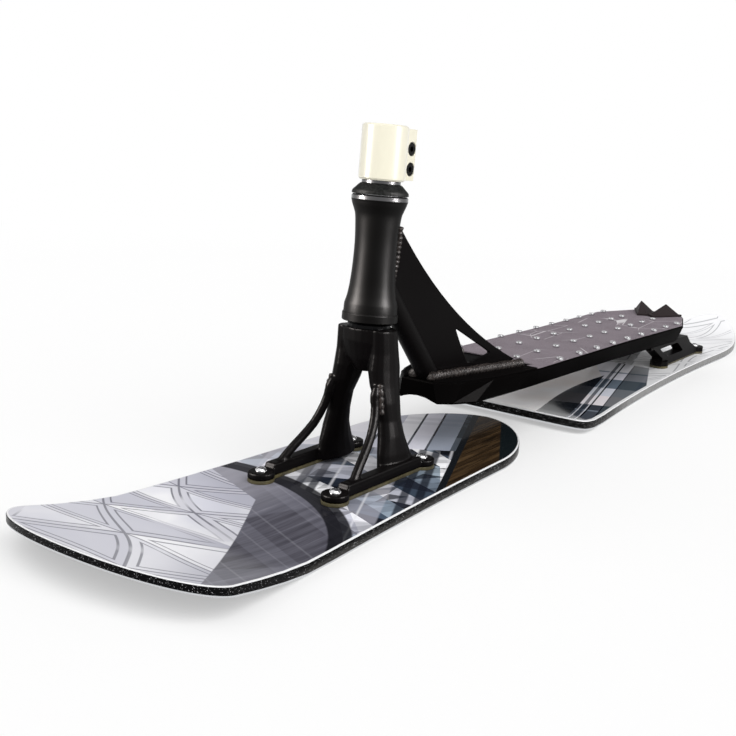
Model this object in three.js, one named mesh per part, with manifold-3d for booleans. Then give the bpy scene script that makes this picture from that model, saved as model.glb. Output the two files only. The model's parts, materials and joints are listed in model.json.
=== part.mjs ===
// Snow scooter, shown without its handlebar: a short ski steered by a raked fork, and a
// gripped deck that stands on a second ski through a fixed truck. Lengths are in
// millimetres, +X points forward, +Z up. The origin is on the ground, under the steering axis.
import * as THREE from 'three';
import { mergeVertices } from 'three/addons/utils/BufferGeometryUtils.js';
import Module from 'manifold-3d';

const wasm = await Module();
wasm.setup();

// Clearances
const seatGap = 0.1; // between flat faces that lie on one another
const fitGap = 0.3; // round a piece that another one is cut to
const runGap = 0.5; // between pieces that turn past one another
const overrun = 8; // how far a cut runs past what it cuts
const bite = 2; // how far a form reaches past the face that trims it
const mergeTolerance = 0.0001; // between corners that are one point

// Ski laminate, from the snow upwards
const baseThickness = 1.8;
const coreThickness = 7.4;
const sheetThickness = 1.1;
const edgeWidth = 2.2;
const sheetInset = 0.5;

// Front ski
const noseTip = 328;
const noseReach = 48;
const noseHalfWidth = 110;
const noseSquareness = 2.15;
const noseRise = 25;
const noseRiseReach = 144;
const noseRisePower = 1.5;
const noseThinShare = 0.32;
const frontWaistHalfWidth = 95.4;
const frontTailHalfWidth = 87.3;
const frontTailStart = -117;
const frontTailReach = 122;
const frontTailSquareness = 1.75;

// Rear ski
const rearSkiFront = -276;
const rearShoulderReach = 32;
const rearShoulderHalfWidth = 93;
const rearShoulderSquareness = 7;
const rearShoulderRise = 6;
const rearShoulderRiseReach = 71;
const rearWaistHalfWidth = 73;
const rearTailHalfWidth = 70.7;
const rearTailStart = -775;
const rearTailReach = 167;
const rearTailSquareness = 2.06;
const rearTailRise = 25;
const rearTailRiseReach = 87;
const rearTailThinShare = 0.3;
const gentleRisePower = 2;

// Bolt pattern that both skis share
const boltSpacingX = 130;
const boltSpacingY = 81.6;
const frontPatternX = 19.3;
const rearPatternX = -681.7;
const boltRadius = 3;
const boltHeadRadius = 5.25;
const boltHeadHeight = 3.1;
const boltHeadRim = 1;
const boltSocketRadius = 2.3;
const boltSocketDepth = 1.9;
const boltTipHeight = 2.6;
const insertRadius = 5;

// Feet that the bolts hold down, and the pad under each
const padThickness = 3;
const bossRadius = 12;
const bossHeight = 6;
const footBarWidth = 12;
const footRidgeHeight = 4.5;

// Fork
const rakeAngle = THREE.MathUtils.degToRad(4);
const crownTop = 141.5;
const crownHalfWidth = 27;
const crownHalfDepth = 22;
const crownDepth = 39;
const crotchHalfWidth = 9;
const crotchHalfDepth = 10;
const legTopY = 18.2;
const legFootY = 33.5;
const legX = -7.8;
const legSetback = 6;
const legHalfDepth = 18.5;
const legHalfWidth = 12;
const strutWidth = 8;
const strutThickness = 9;
const strutTopX = 11.5;
const strutTopY = 25;
const strutTopZ = 86;
const strutFootX = 66;

// Up the crown from the crotch: how low, how deep and how wide
const crownShares = [[0.7, 0.72, 0.86], [0.3, 0.94, 0.96]];

// Up a leg from its foot: how high, how far splayed, how far set back, how deep and how wide
const legRiseShares = [0, 0.07, 0.155, 0.275, 0.38, 0.5, 0.61, 0.72, 0.83, 1];
const legSplayShares = [1, 1, 0.95, 0.83, 0.67, 0.51, 0.22, 0.04, 0.05, 0];
const legSetbackShares = [1, 0.9, 0.35, 0, 0, -0.15, 0, 0.25, 0.25, 0];
const legDepthShares = [1.42, 1.36, 1.15, 0.85, 0.735, 0.8, 0.93, 1, 0.87, 0.8];
const legWidthShares = [0.83, 0.83, 0.83, 0.8, 0.72, 0.79, 0.92, 1, 0.86, 0.79];

// Down a strut from the leg: how low, how far forward and how far out
const strutDropShares = [0, 0.17, 0.32, 0.47, 0.62, 0.77, 0.92, 1];
const strutReachShares = [0, 0.02, 0.1, 0.22, 0.42, 0.66, 0.87, 1];
const strutSplayShares = [0, 0.13, 0.27, 0.41, 0.6, 0.8, 0.97, 1];

// Steerer tube and what stacks up on it, measured along the steering axis
const steererRadius = 14.3;
const steererWall = 1.9;
const steererBottom = 118;
const steererTop = 291;
const headTubeBottom = 147;
const headTubeLength = 111;
const headTubeFlangeRadius = 25;
const headTubeWaistRadius = 19;
const headTubeBoreRadius = 16.4;
const bandHeight = 7;
const bandLip = 0.8;
const flangeBevel = 1.8;
const bearingRadius = 20.9;
const bearingBoreRadius = 14.9;
const bearingHeight = 7;
const raceWall = 1.5;
const ballCount = 12;
const ballRadius = 1.35;
const crownRaceRadius = 19.5;
const capTopRadius = 17.6;
const capHeight = 9.4;
const wedgeHeight = 3;
const spacerRadius = 17.2;
const spacerHeight = 2.6;

// Handlebar clamp
const clampRadius = 20.6;
const clampHeight = 48;
const barRadius = 17.45;
const earReach = 34;
const earHalfWidth = 12.5;
const clampSlit = 2.6;
const clampBoltX = -25;
const clampBoltRadius = 3;
const clampHeadRadius = 5.9;
const clampHeadHeight = 6;
const clampHeadPocket = 6.5;
const clampBoltLow = 11.6;
const clampBoltHigh = 29.3;
const clampEdgeBevel = 1.6;
const starNutThickness = 5;
const starNutDepth = 24;
const compressionCapThickness = 3.5;
const compressionHeadRadius = 5.2;
const compressionHeadThickness = 2.2;

// Neck, a rounded bulb with two flared wings, drawn along its own sloping front line
const neckSlope = THREE.MathUtils.degToRad(49.3);
const neckFootX = -97;
const neckFootZ = 81;
const neckBulbRadius = 10.5;
const neckWall = 4;
const wingInset = 2.2;
const wingStart = 15;
const wingFlare = 0.3;
const wingDepth = 122;
const wingTipX = -240;
const wingTipHeight = 1.2;
const wingTopX = -25.3;
const wingTopZ = 232.5;
const wingCurveX = -119.8;
const wingCurveZ = 127.4;
const weldRadius = 3.4;
const weldStartShare = 0.2;

// Deck, in its own frame: the origin is on the top face at the front, and it falls rearwards
const deckFrontX = -94;
const deckTopZ = 77.6;
const deckPitch = THREE.MathUtils.degToRad(1.146);
const deckLength = 607;
const deckHeight = 21.5;
const deckHalfWidth = 59;
const deckTailFlare = 4;
const deckTailHalfWidth = deckHalfWidth + deckTailFlare;
const deckNoseHalfWidth = 18;
const deckWall = 4;
const deckTopBevel = 1.4;
const deckFootBevel = 2;
const deckArchReach = 70;
const deckArchHalfWidth = 22;
const deckArchHeight = 5.5;
const deckPocketLength = 78;
const deckPocketHalfWidth = 36;
const deckPocketFrontX = -92;
const deckPocketPitch = 92;
const deckPocketCount = 4;
const gripThickness = 1.3;
const gripInset = 2;
const gripNeckMargin = 12;

// Studs through the grip, in four staggered rows that close up towards the tail
const studRadius = 3.5;
const studHeight = 3.1;
const outerRowShare = 0.915;
const innerRowShare = 0.3136;

// Tail stop, two faceted horns on a low plate
const stopLength = 46;
const stopMargin = 2;
const stopRearX = stopMargin - deckLength;
const stopFrontX = stopRearX + stopLength;
const stopFrontY = 11;
const stopRearY = 35;
const stopValleyDepth = 10;
const stopBackDepth = 7;
const stopApexSetback = 19;
const stopApexY = 18;
const stopHeight = 17.5;
const stopPlateHeight = 3;

// Rear truck
const truckFrontX = -566;
const truckRearX = -692;
const truckPlateHalfWidth = 48;
const truckPlateThickness = 5;
const truckLegWidth = 15;
const truckLegThickness = 29.7;
const truckRearLegThickness = 34;
const truckHeelReach = 15.4;
const truckToeReach = 8.4;
const truckWindowHeel = 10.2;
const truckWindowToe = 9.6;

// Facets: how many sides the round forms get
const roundSides = 32;
const innerSides = 24;
const bossSides = 18;
const boltSides = 12;
const legSides = 16;
const strutSides = 8;
const studSides = 8;
const ballSides = 6;
const socketSides = 6;
const strutSteps = 10;
const noseSteps = 22;
const tailSteps = 18;
const sidecutSteps = 6;
const wingEdgeSteps = 14;
const cornerSteps = 4;

// Finishes
const finish = (color, roughness, metalness) =>
  new THREE.MeshStandardMaterial({ color, roughness, metalness });
const blackCoat = finish(0x17161a, 0.42, 0.35);
const steel = finish(0xb9bcc0, 0.28, 1);
const darkSteel = finish(0x1b1b1d, 0.35, 0.9);
const whiteCoat = finish(0xeceade, 0.4, 0.1);
const blackPlastic = finish(0x16181a, 0.62, 0);
const gripSheet = finish(0x6c6167, 0.9, 0);
const padPlastic = finish(0x4a4630, 0.55, 0.2);
const snowBase = finish(0x1c1e24, 0.5, 0);
const skiCore = finish(0x2a2b2e, 0.6, 0);
const frontSheet = finish(0x8f8b9b, 0.16, 0);
const rearSheet = finish(0xb9b8c4, 0.16, 0);
const brass = finish(0xb08d3c, 0.35, 1);

// Solids and meshes

function solidOf(geometry) {
  const bare = geometry.index ? geometry.toNonIndexed() : geometry.clone();
  bare.deleteAttribute('normal');
  bare.deleteAttribute('uv');
  const merged = mergeVertices(bare, mergeTolerance);
  return new wasm.Manifold(new wasm.Mesh({
    numProp: 3,
    vertProperties: new Float32Array(merged.attributes.position.array),
    triVerts: new Uint32Array(merged.index.array)
  }));
}

function geometryOf(solid) {
  const mesh = solid.getMesh();
  const geometry = new THREE.BufferGeometry();
  geometry.setAttribute('position', new THREE.BufferAttribute(mesh.vertProperties, 3));
  geometry.setIndex(new THREE.BufferAttribute(mesh.triVerts, 1));
  geometry.computeVertexNormals();
  return geometry;
}

const join = (...geometries) =>
  geometryOf(geometries.map(solidOf).reduce((sum, solid) => sum.add(solid)));

const cut = (geometry, ...tools) =>
  geometryOf(tools.map(solidOf).reduce((rest, tool) => rest.subtract(tool), solidOf(geometry)));

const common = (a, b) => geometryOf(solidOf(a).intersect(solidOf(b)));

const moved = (geometry, x, y, z) => geometry.clone().translate(x, y, z);

const mirroredY = (points) => points.map(([x, y]) => [x, -y]).reverse();

// Upright prism over an outline of [x, y] points
function prism(outline, low, high, holes = []) {
  const shape = new THREE.Shape(outline.map(([x, y]) => new THREE.Vector2(x, y)));
  for (const hole of holes) {
    shape.holes.push(new THREE.Path(hole.map(([x, y]) => new THREE.Vector2(x, y))));
  }
  const geometry = new THREE.ExtrudeGeometry(shape, { depth: high - low, bevelEnabled: false });
  return geometry.translate(0, 0, low);
}

// Prism across the scooter over a side view of [x, z] points, from y = right to y = left
function sidePrism(outline, right, left) {
  return prism(outline, -left, -right).rotateX(Math.PI / 2);
}

const cylinder = (radius, low, high, x = 0, y = 0, sides = boltSides) =>
  prism(ellipse(x, y, 0, radius, radius, sides), low, high);

const lathe = (profile, sides = roundSides) =>
  new THREE.LatheGeometry(profile.map(([r, z]) => new THREE.Vector2(r, z)), sides)
    .rotateX(Math.PI / 2);

// A ring of rectangular section
const ring = (inner, outer, low, high, sides = innerSides) =>
  lathe([[inner, low], [outer, low], [outer, high], [inner, high], [inner, low]], sides);

// Closed skin through rings of points that have equal counts, with flat ends
function loft(rings) {
  const count = rings[0].length;
  const points = rings.flat();
  const faces = [];
  for (let level = 0; level + 1 < rings.length; level++) {
    for (let i = 0; i < count; i++) {
      const a = level * count + i;
      const b = level * count + (i + 1) % count;
      faces.push([a, b, b + count], [a, b + count, a + count]);
    }
  }
  const flat = (loop) => loop.map(([x, y]) => new THREE.Vector2(x, y));
  const last = (rings.length - 1) * count;
  for (const [a, b, c] of THREE.ShapeUtils.triangulateShape(flat(rings[0]), [])) {
    faces.push([c, b, a]);
  }
  for (const [a, b, c] of THREE.ShapeUtils.triangulateShape(flat(rings.at(-1)), [])) {
    faces.push([last + a, last + b, last + c]);
  }
  const geometry = new THREE.BufferGeometry();
  geometry.setAttribute('position', new THREE.Float32BufferAttribute(points.flat(), 3));
  geometry.setIndex(faces.flat());
  geometry.computeVertexNormals();
  return geometry;
}

// Counter-clockwise ellipse of [x, y, z] points round a centre
function ellipse(x, y, z, halfDepth, halfWidth, sides) {
  const points = [];
  for (let i = 0; i < sides; i++) {
    const turn = i / sides * 2 * Math.PI;
    points.push([x + halfDepth * Math.cos(turn), y + halfWidth * Math.sin(turn), z]);
  }
  return points;
}

// Outline moved inwards by a distance, for a counter-clockwise loop of [x, y] points
function inset(outline, distance) {
  return outline.map((point, i) => {
    const before = outline.at(i - 1);
    const after = outline[(i + 1) % outline.length];
    const one = new THREE.Vector2(point[0] - before[0], point[1] - before[1]).normalize();
    const two = new THREE.Vector2(after[0] - point[0], after[1] - point[1]).normalize();
    const middle = one.clone().add(two).normalize();
    const reach = distance / Math.max(middle.dot(one), 0.5);
    return [point[0] - middle.y * reach, point[1] + middle.x * reach];
  });
}

const group = new THREE.Group();
const steering = new THREE.Group();
steering.rotation.y = -rakeAngle;
const deckFrame = new THREE.Group();
deckFrame.position.set(deckFrontX, 0, deckTopZ);
deckFrame.rotation.y = -deckPitch;
group.add(steering, deckFrame);

function piece(name, geometry, material, parent = group) {
  const mesh = new THREE.Mesh(geometry, material);
  mesh.name = name;
  parent.add(mesh);
  return mesh;
}

const leaned = (geometry) => geometry.clone().rotateY(-rakeAngle);

// Skis: each layer is a band that follows the side view, trimmed to the plan outline

const boltPlaces = (patternX) => [1, -1].flatMap((end) => [1, -1].map((side) => ({
  name: `${end > 0 ? 'front' : 'rear'}_${side > 0 ? 'left' : 'right'}`,
  x: patternX + end * boltSpacingX / 2,
  y: side * boltSpacingY / 2
})));

// One rounded end of a ski, from its right shoulder round to its left one
function skiEnd(shoulderX, reach, halfWidth, squareness, steps) {
  const points = [];
  for (let i = 0; i <= steps; i++) {
    const turn = (i / steps - 0.5) * Math.PI;
    const along = Math.abs(Math.cos(turn)) ** (2 / squareness);
    const across = Math.sign(turn) * Math.abs(Math.sin(turn)) ** (2 / squareness);
    points.push([shoulderX + reach * along, halfWidth * across]);
  }
  return points;
}

function skiOutline(ski) {
  const front = skiEnd(ski.front - ski.frontReach, ski.frontReach, ski.frontHalfWidth,
    ski.frontSquareness, noseSteps);
  const rear = skiEnd(ski.tailStart, -ski.tailReach, ski.tailHalfWidth, ski.tailSquareness, tailSteps);
  const sides = [];
  for (let i = 1; i < sidecutSteps; i++) {
    const share = i / sidecutSteps;
    const straight = ski.frontHalfWidth * (1 - share) + ski.tailHalfWidth * share;
    const sidecut = (ski.frontHalfWidth + ski.tailHalfWidth) / 2 - ski.waistHalfWidth;
    const shoulder = ski.front - ski.frontReach;
    sides.push([shoulder + (ski.tailStart - shoulder) * share,
      straight - 4 * sidecut * share * (1 - share)]);
  }
  return [...front, ...sides, ...rear.reverse(), ...mirroredY(sides)];
}

// Height of a level in the laminate, which bends up and thins out towards the ends
const laminate = baseThickness + coreThickness + sheetThickness + 2 * seatGap;
function skiHeight(ski, x, level) {
  const ahead = Math.max(0, x - (ski.front - ski.frontRiseReach)) / ski.frontRiseReach;
  const behind = Math.max(0, ski.rear + ski.rearRiseReach - x) / ski.rearRiseReach;
  const rise = ski.frontRise * ahead ** ski.frontRisePower + ski.rearRise * behind ** gentleRisePower;
  const thinning = ski.frontThinShare * ahead + ski.rearThinShare * behind;
  return rise + laminate - (laminate - level) * (1 - thinning);
}

// Band between two heights above the snow, along the whole ski and a little past it
function skiBand(ski, low, high) {
  const steps = 9;
  const xs = [];
  for (let i = 0; i <= steps; i++) {
    xs.push(ski.rear + ski.rearRiseReach * i / steps);
  }
  for (let i = 0; i <= steps; i++) {
    xs.push(ski.front - ski.frontRiseReach * (1 - i / steps));
  }
  xs[0] -= overrun;
  xs[xs.length - 1] += overrun;
  const under = xs.map((x) => [x, skiHeight(ski, x, low)]);
  const over = xs.map((x) => [x, skiHeight(ski, x, high)]).reverse();
  const reach = ski.frontHalfWidth + overrun;
  return sidePrism([...under, ...over], -reach, reach);
}

function buildSki(name, ski, sheetMaterial) {
  const outline = skiOutline(ski);
  const top = laminate + 2 * Math.max(ski.frontRise, ski.rearRise) + overrun;
  const coreLow = baseThickness + seatGap;
  const coreHigh = coreLow + coreThickness;
  const sheetLow = coreHigh + seatGap;
  const sheetHigh = sheetLow + sheetThickness;
  const body = prism(outline, -overrun, top);
  const places = boltPlaces(ski.patternX);

  const inside = prism(inset(outline, edgeWidth), -2 * overrun, top + overrun);
  const runner = prism(inset(outline, edgeWidth + seatGap), -overrun, top);
  piece(`${name}_ski_edge`, cut(common(skiBand(ski, 0, baseThickness), body), inside), steel);
  piece(`${name}_ski_base`, common(skiBand(ski, 0, baseThickness), runner), snowBase);

  const sockets = places.map(({ x, y }) => cylinder(insertRadius + fitGap, -overrun, top, x, y));
  const core = common(skiBand(ski, coreLow, coreHigh), body);
  piece(`${name}_ski_core`, cut(core, ...sockets), skiCore);

  const sheet = common(skiBand(ski, sheetLow, sheetHigh), prism(inset(outline, sheetInset), -overrun, top));
  const shanks = places.map(({ x, y }) => cylinder(boltRadius + fitGap, -overrun, top, x, y));
  piece(`${name}_ski_topsheet`, cut(sheet, ...shanks), sheetMaterial);

  for (const { name: place, x, y } of places) {
    const barrel = ring(boltRadius + fitGap, insertRadius, coreLow + seatGap, coreHigh, boltSides);
    piece(`${name}_ski_insert_${place}`, moved(barrel, x, y, 0), brass);
  }
  return sheetHigh;
}

const skiTop = buildSki('front', {
  front: noseTip, frontReach: noseReach, frontHalfWidth: noseHalfWidth,
  frontSquareness: noseSquareness, frontRise: noseRise, frontRiseReach: noseRiseReach,
  frontRisePower: noseRisePower, frontThinShare: noseThinShare, rearThinShare: 0,
  waistHalfWidth: frontWaistHalfWidth, tailHalfWidth: frontTailHalfWidth,
  tailStart: frontTailStart, tailReach: frontTailReach, tailSquareness: frontTailSquareness,
  rear: frontTailStart - frontTailReach, rearRise: 0, rearRiseReach: frontTailReach,
  patternX: frontPatternX
}, frontSheet);

buildSki('rear', {
  front: rearSkiFront, frontReach: rearShoulderReach, frontHalfWidth: rearShoulderHalfWidth,
  frontSquareness: rearShoulderSquareness, frontRise: rearShoulderRise,
  frontRiseReach: rearShoulderRiseReach, frontRisePower: gentleRisePower,
  frontThinShare: 0, rearThinShare: rearTailThinShare, waistHalfWidth: rearWaistHalfWidth,
  tailHalfWidth: rearTailHalfWidth, tailStart: rearTailStart, tailReach: rearTailReach,
  tailSquareness: rearTailSquareness, rear: rearTailStart - rearTailReach,
  rearRise: rearTailRise, rearRiseReach: rearTailRiseReach, patternX: rearPatternX
}, rearSheet);

// Feet: a bar with a round boss at each end, one on each side of the scooter

const padLow = skiTop + seatGap;
const padHigh = padLow + padThickness;
const footLow = padHigh + seatGap;
const bossTop = footLow + bossHeight;

function footPlan(low, high, patternX, side) {
  const y = side * boltSpacingY / 2;
  const ends = [-1, 1].map((end) =>
    cylinder(bossRadius, low, high, patternX + end * boltSpacingX / 2, y, bossSides));
  const bar = prism([
    [patternX - boltSpacingX / 2, y - footBarWidth / 2],
    [patternX + boltSpacingX / 2, y - footBarWidth / 2],
    [patternX + boltSpacingX / 2, y + footBarWidth / 2],
    [patternX - boltSpacingX / 2, y + footBarWidth / 2]
  ], low, high);
  return join(bar, ...ends);
}

const boltHoles = (patternX, side, low, high) => [-1, 1].map((end) =>
  cylinder(boltRadius + fitGap, low, high, patternX + end * boltSpacingX / 2,
    side * boltSpacingY / 2));

// A raised back along the bar, between the bosses
const ridge = (patternX, side) => {
  const half = boltSpacingX / 2 - bossRadius;
  const y = side * boltSpacingY / 2;
  return sidePrism([
    [patternX - half - footRidgeHeight, footLow - bite],
    [patternX + half + footRidgeHeight, footLow - bite],
    [patternX + half, bossTop + footRidgeHeight],
    [patternX - half, bossTop + footRidgeHeight]
  ], y - footBarWidth / 2 + fitGap, y + footBarWidth / 2 - fitGap);
};

// Everything under the feet, which are trimmed flat to it
const underFoot = prism([
  [rearTailStart, -boltSpacingY], [noseTip, -boltSpacingY],
  [noseTip, boltSpacingY], [rearTailStart, boltSpacingY]
], -overrun, footLow);

function pads(name, patternX) {
  for (const [word, side] of [['left', 1], ['right', -1]]) {
    const pad = footPlan(padLow, padHigh, patternX, side);
    const holes = boltHoles(patternX, side, padLow - overrun, padHigh + overrun);
    piece(`${name}_pad_${word}`, cut(pad, ...holes), padPlastic);
  }
}

function bolts(name, patternX) {
  const head = bossTop + seatGap;
  const profile = [
    [0, boltTipHeight], [boltRadius, boltTipHeight], [boltRadius, head],
    [boltHeadRadius, head], [boltHeadRadius, head + boltHeadRim],
    [(boltHeadRadius + boltSocketRadius) / 2, head + (boltHeadHeight + boltHeadRim) / 2 + seatGap],
    [boltSocketRadius, head + boltHeadHeight], [0, head + boltHeadHeight]
  ];
  const socketFloor = head + boltHeadHeight - boltSocketDepth;
  const socket = cylinder(boltSocketRadius, socketFloor, head + overrun, 0, 0, socketSides);
  const bolt = cut(lathe(profile, boltSides), socket);
  for (const { name: place, x, y } of boltPlaces(patternX)) {
    piece(`${name}_bolt_${place}`, moved(bolt, x, y, 0), steel);
  }
}

// Fork: crown, two splayed legs that flare into their feet, and a curved strut before each

function forkLeg(side) {
  const legTop = crownTop + bite;
  const legLow = footLow - bite;
  return loft(legRiseShares.map((rise, i) => ellipse(
    legX - legSetback * legSetbackShares[i],
    side * (legTopY + (legFootY - legTopY) * legSplayShares[i]),
    legLow + (legTop - legLow) * rise,
    legHalfDepth * legDepthShares[i],
    legHalfWidth * legWidthShares[i],
    legSides
  )));
}

function forkStrut(side) {
  const footZ = footLow + bossHeight / 2;
  const path = new THREE.CatmullRomCurve3(strutDropShares.map((drop, i) => new THREE.Vector3(
    strutTopX + (strutFootX - strutTopX) * strutReachShares[i],
    side * (strutTopY + (boltSpacingY / 2 - strutTopY) * strutSplayShares[i]),
    strutTopZ + (footZ - strutTopZ) * drop
  )));
  const section = new THREE.Shape(ellipse(0, 0, 0, strutThickness / 2, strutWidth / 2, strutSides)
    .map(([x, y]) => new THREE.Vector2(x, y)));
  return new THREE.ExtrudeGeometry(section, { steps: strutSteps, extrudePath: path, bevelEnabled: false });
}

const crown = leaned(loft([
  ellipse(0, 0, crownTop - crownDepth, crotchHalfDepth, crotchHalfWidth, innerSides),
  ...crownShares.map(([drop, depth, width]) => ellipse(
    0, 0, crownTop - crownDepth * drop, crownHalfDepth * depth, crownHalfWidth * width, innerSides
  )),
  ellipse(0, 0, crownTop + 2 * bite, crownHalfDepth, crownHalfWidth, innerSides)
]));
const crownBore = leaned(cylinder(steererRadius + seatGap, steererBottom - fitGap,
  crownTop + overrun, 0, 0, roundSides));
const forkSides = [1, -1].flatMap((side) => [
  forkLeg(side),
  forkStrut(side),
  footPlan(footLow - 2 * bite, bossTop, frontPatternX, side),
  ridge(frontPatternX, side)
]);
const forkHoles = [1, -1].flatMap((side) =>
  boltHoles(frontPatternX, side, footLow - overrun, bossTop + overrun));
const aboveCrown = leaned(cylinder(crownHalfWidth + 2 * overrun, crownTop, crownTop + overrun,
  0, 0, roundSides));
piece('fork', cut(join(crown, ...forkSides), crownBore, aboveCrown, underFoot, ...forkHoles),
  blackCoat);
pads('front', frontPatternX);
bolts('front', frontPatternX);

// Steerer tube, bearings and the caps that close them

piece('steerer_tube', ring(steererRadius - steererWall, steererRadius, steererBottom, steererTop),
  darkSteel, steering);

const headTubeTop = headTubeBottom + headTubeLength;
const seatDepth = bearingHeight + 2 * runGap;
const seatRadius = bearingRadius + fitGap;
// Up the head tube: how high, and how much of the flare it has there
const flareShares = [
  [0.136, 0.8], [0.191, 0.52], [0.245, 0.35], [0.3, 0.23], [0.41, 0.08], [0.53, 0],
  [0.64, 0], [0.745, 0.1], [0.836, 0.25], [0.882, 0.5], [0.923, 0.8]
];
const headTubeOuter = [
  [headTubeFlangeRadius, headTubeBottom],
  [headTubeFlangeRadius, headTubeBottom + bandHeight],
  [headTubeFlangeRadius - bandLip, headTubeBottom + bandHeight + bandLip],
  ...flareShares.map(([share, flare]) => [
    headTubeWaistRadius + (headTubeFlangeRadius - headTubeWaistRadius) * flare,
    headTubeBottom + headTubeLength * share
  ]),
  [headTubeFlangeRadius, headTubeTop - bandHeight / 2],
  [headTubeFlangeRadius, headTubeTop - flangeBevel],
  [headTubeFlangeRadius - flangeBevel, headTubeTop]
];
const headTubeInner = [
  [seatRadius, headTubeTop],
  [seatRadius, headTubeTop - seatDepth],
  [headTubeBoreRadius, headTubeTop - seatDepth],
  [headTubeBoreRadius, headTubeBottom + seatDepth],
  [seatRadius, headTubeBottom + seatDepth],
  [seatRadius, headTubeBottom]
];
piece('head_tube', lathe([...headTubeOuter, ...headTubeInner, headTubeOuter[0]]), blackCoat, steering);

// Each bearing is two races with a ring of balls in a cage between them
function bearing(name, low) {
  const high = low + bearingHeight;
  const innerWall = bearingBoreRadius + raceWall;
  const outerWall = bearingRadius - raceWall;
  const pitchRadius = (innerWall + outerWall) / 2;
  const middle = (low + high) / 2;
  piece(`${name}_bearing_outer_race`, ring(outerWall, bearingRadius, low, high), steel, steering);
  piece(`${name}_bearing_inner_race`, ring(bearingBoreRadius, innerWall, low, high), steel, steering);
  const balls = [];
  for (let i = 0; i < ballCount; i++) {
    const turn = i / ballCount * 2 * Math.PI;
    balls.push(new THREE.SphereGeometry(ballRadius, ballSides, ballSides / 2)
      .translate(pitchRadius * Math.cos(turn), pitchRadius * Math.sin(turn), middle));
  }
  const cage = ring(pitchRadius - ballRadius / 3, pitchRadius + ballRadius / 3,
    middle - ballRadius / 2, middle + ballRadius / 2, ballCount * 2);
  piece(`${name}_ball_cage`, join(cage, ...balls), steel, steering);
}

const lowerBearingLow = headTubeBottom + runGap + seatGap;
const upperBearingLow = headTubeTop - seatDepth + runGap;
bearing('lower', lowerBearingLow);
bearing('upper', upperBearingLow);

const sleeveRadius = steererRadius + seatGap;
piece('crown_race', lathe([
  [sleeveRadius, crownTop + seatGap],
  [crownRaceRadius, crownTop + seatGap],
  [crownRaceRadius, crownTop + (lowerBearingLow - crownTop) / 2],
  [bearingBoreRadius + raceWall, lowerBearingLow - seatGap],
  [sleeveRadius, lowerBearingLow - seatGap],
  [sleeveRadius, crownTop + seatGap]
], innerSides), steel, steering);

const wedgeLow = upperBearingLow + bearingHeight + seatGap;
const wedgeHigh = wedgeLow + wedgeHeight;
const wedgeRadius = bearingBoreRadius + raceWall;
piece('compression_ring', ring(sleeveRadius, wedgeRadius, wedgeLow, wedgeHigh), steel, steering);

// Up the cap's domed side: how far in and how high
const capShares = [[0, 0.18], [0.3, 0.5], [0.68, 0.82]];
const capLow = headTubeTop + runGap;
const capHigh = capLow + capHeight;
piece('headset_cap', lathe([
  [wedgeRadius + fitGap, capLow],
  [headTubeFlangeRadius, capLow],
  ...capShares.map(([inwards, up]) => [
    headTubeFlangeRadius - (headTubeFlangeRadius - capTopRadius) * inwards,
    capLow + capHeight * up
  ]),
  [capTopRadius, capHigh],
  [sleeveRadius, capHigh],
  [sleeveRadius, wedgeHigh + seatGap],
  [wedgeRadius + fitGap, wedgeHigh + seatGap],
  [wedgeRadius + fitGap, capLow]
]), blackPlastic, steering);

const spacerLow = capHigh + seatGap;
const spacerHigh = spacerLow + spacerHeight;
piece('headset_spacer', ring(sleeveRadius, spacerRadius, spacerLow, spacerHigh), steel, steering);

// Handlebar clamp: a slit collar with ears behind, on a split shim round the steerer

const clampLow = spacerHigh + seatGap;
const clampHigh = clampLow + clampHeight;
const clampCollar = lathe([
  [0, clampLow], [clampRadius - clampEdgeBevel, clampLow],
  [clampRadius, clampLow + clampEdgeBevel], [clampRadius, clampHigh - clampEdgeBevel],
  [clampRadius - clampEdgeBevel, clampHigh], [0, clampHigh]
]);
const clampEars = prism([
  [-clampRadius / 2, -earHalfWidth], [-clampRadius / 2, earHalfWidth],
  [-earReach + clampEdgeBevel * 2, earHalfWidth], [-earReach, earHalfWidth - clampEdgeBevel * 2],
  [-earReach, -earHalfWidth + clampEdgeBevel * 2], [-earReach + clampEdgeBevel * 2, -earHalfWidth]
].reverse(), clampLow + clampEdgeBevel, clampHigh - clampEdgeBevel);
const clampBore = cylinder(barRadius, clampLow - overrun, clampHigh + overrun, 0, 0, roundSides);
const slit = prism([
  [-earReach - overrun, -clampSlit / 2], [0, -clampSlit / 2],
  [0, clampSlit / 2], [-earReach - overrun, clampSlit / 2]
], clampLow - overrun, clampHigh + overrun);
const clampBoltHeights = [clampLow + clampBoltLow, clampLow + clampBoltHigh];
const across = (radius, right, left, z) => cylinder(radius, right, left)
  .rotateX(-Math.PI / 2)
  .translate(clampBoltX, 0, z);
const pocketFloor = earHalfWidth - clampHeadPocket;
const clampCuts = clampBoltHeights.flatMap((z) => [
  across(clampBoltRadius + fitGap, -earHalfWidth - overrun, earHalfWidth + overrun, z),
  across(clampHeadRadius + runGap, pocketFloor, earHalfWidth + overrun, z)
]);
piece('bar_clamp', cut(join(clampCollar, clampEars), clampBore, slit, ...clampCuts), whiteCoat, steering);

['lower', 'upper'].forEach((word, i) => {
  const z = clampBoltHeights[i];
  const headFloor = pocketFloor + seatGap;
  const shank = across(clampBoltRadius, -earHalfWidth + fitGap, headFloor + seatGap, z);
  const head = across(clampHeadRadius, headFloor, headFloor + clampHeadHeight, z);
  const key = new THREE.CylinderGeometry(clampBoltRadius * 0.85, clampBoltRadius * 0.85,
    clampHeadHeight, socketSides).translate(clampBoltX, headFloor + clampHeadHeight, z);
  piece(`clamp_bolt_${word}`, cut(join(shank, head), key), darkSteel, steering);
});

const shimOuter = barRadius - fitGap;
const shim = ring(sleeveRadius, shimOuter, clampLow + seatGap, steererTop);
piece('clamp_shim', cut(shim, slit), steel, steering);

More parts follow.
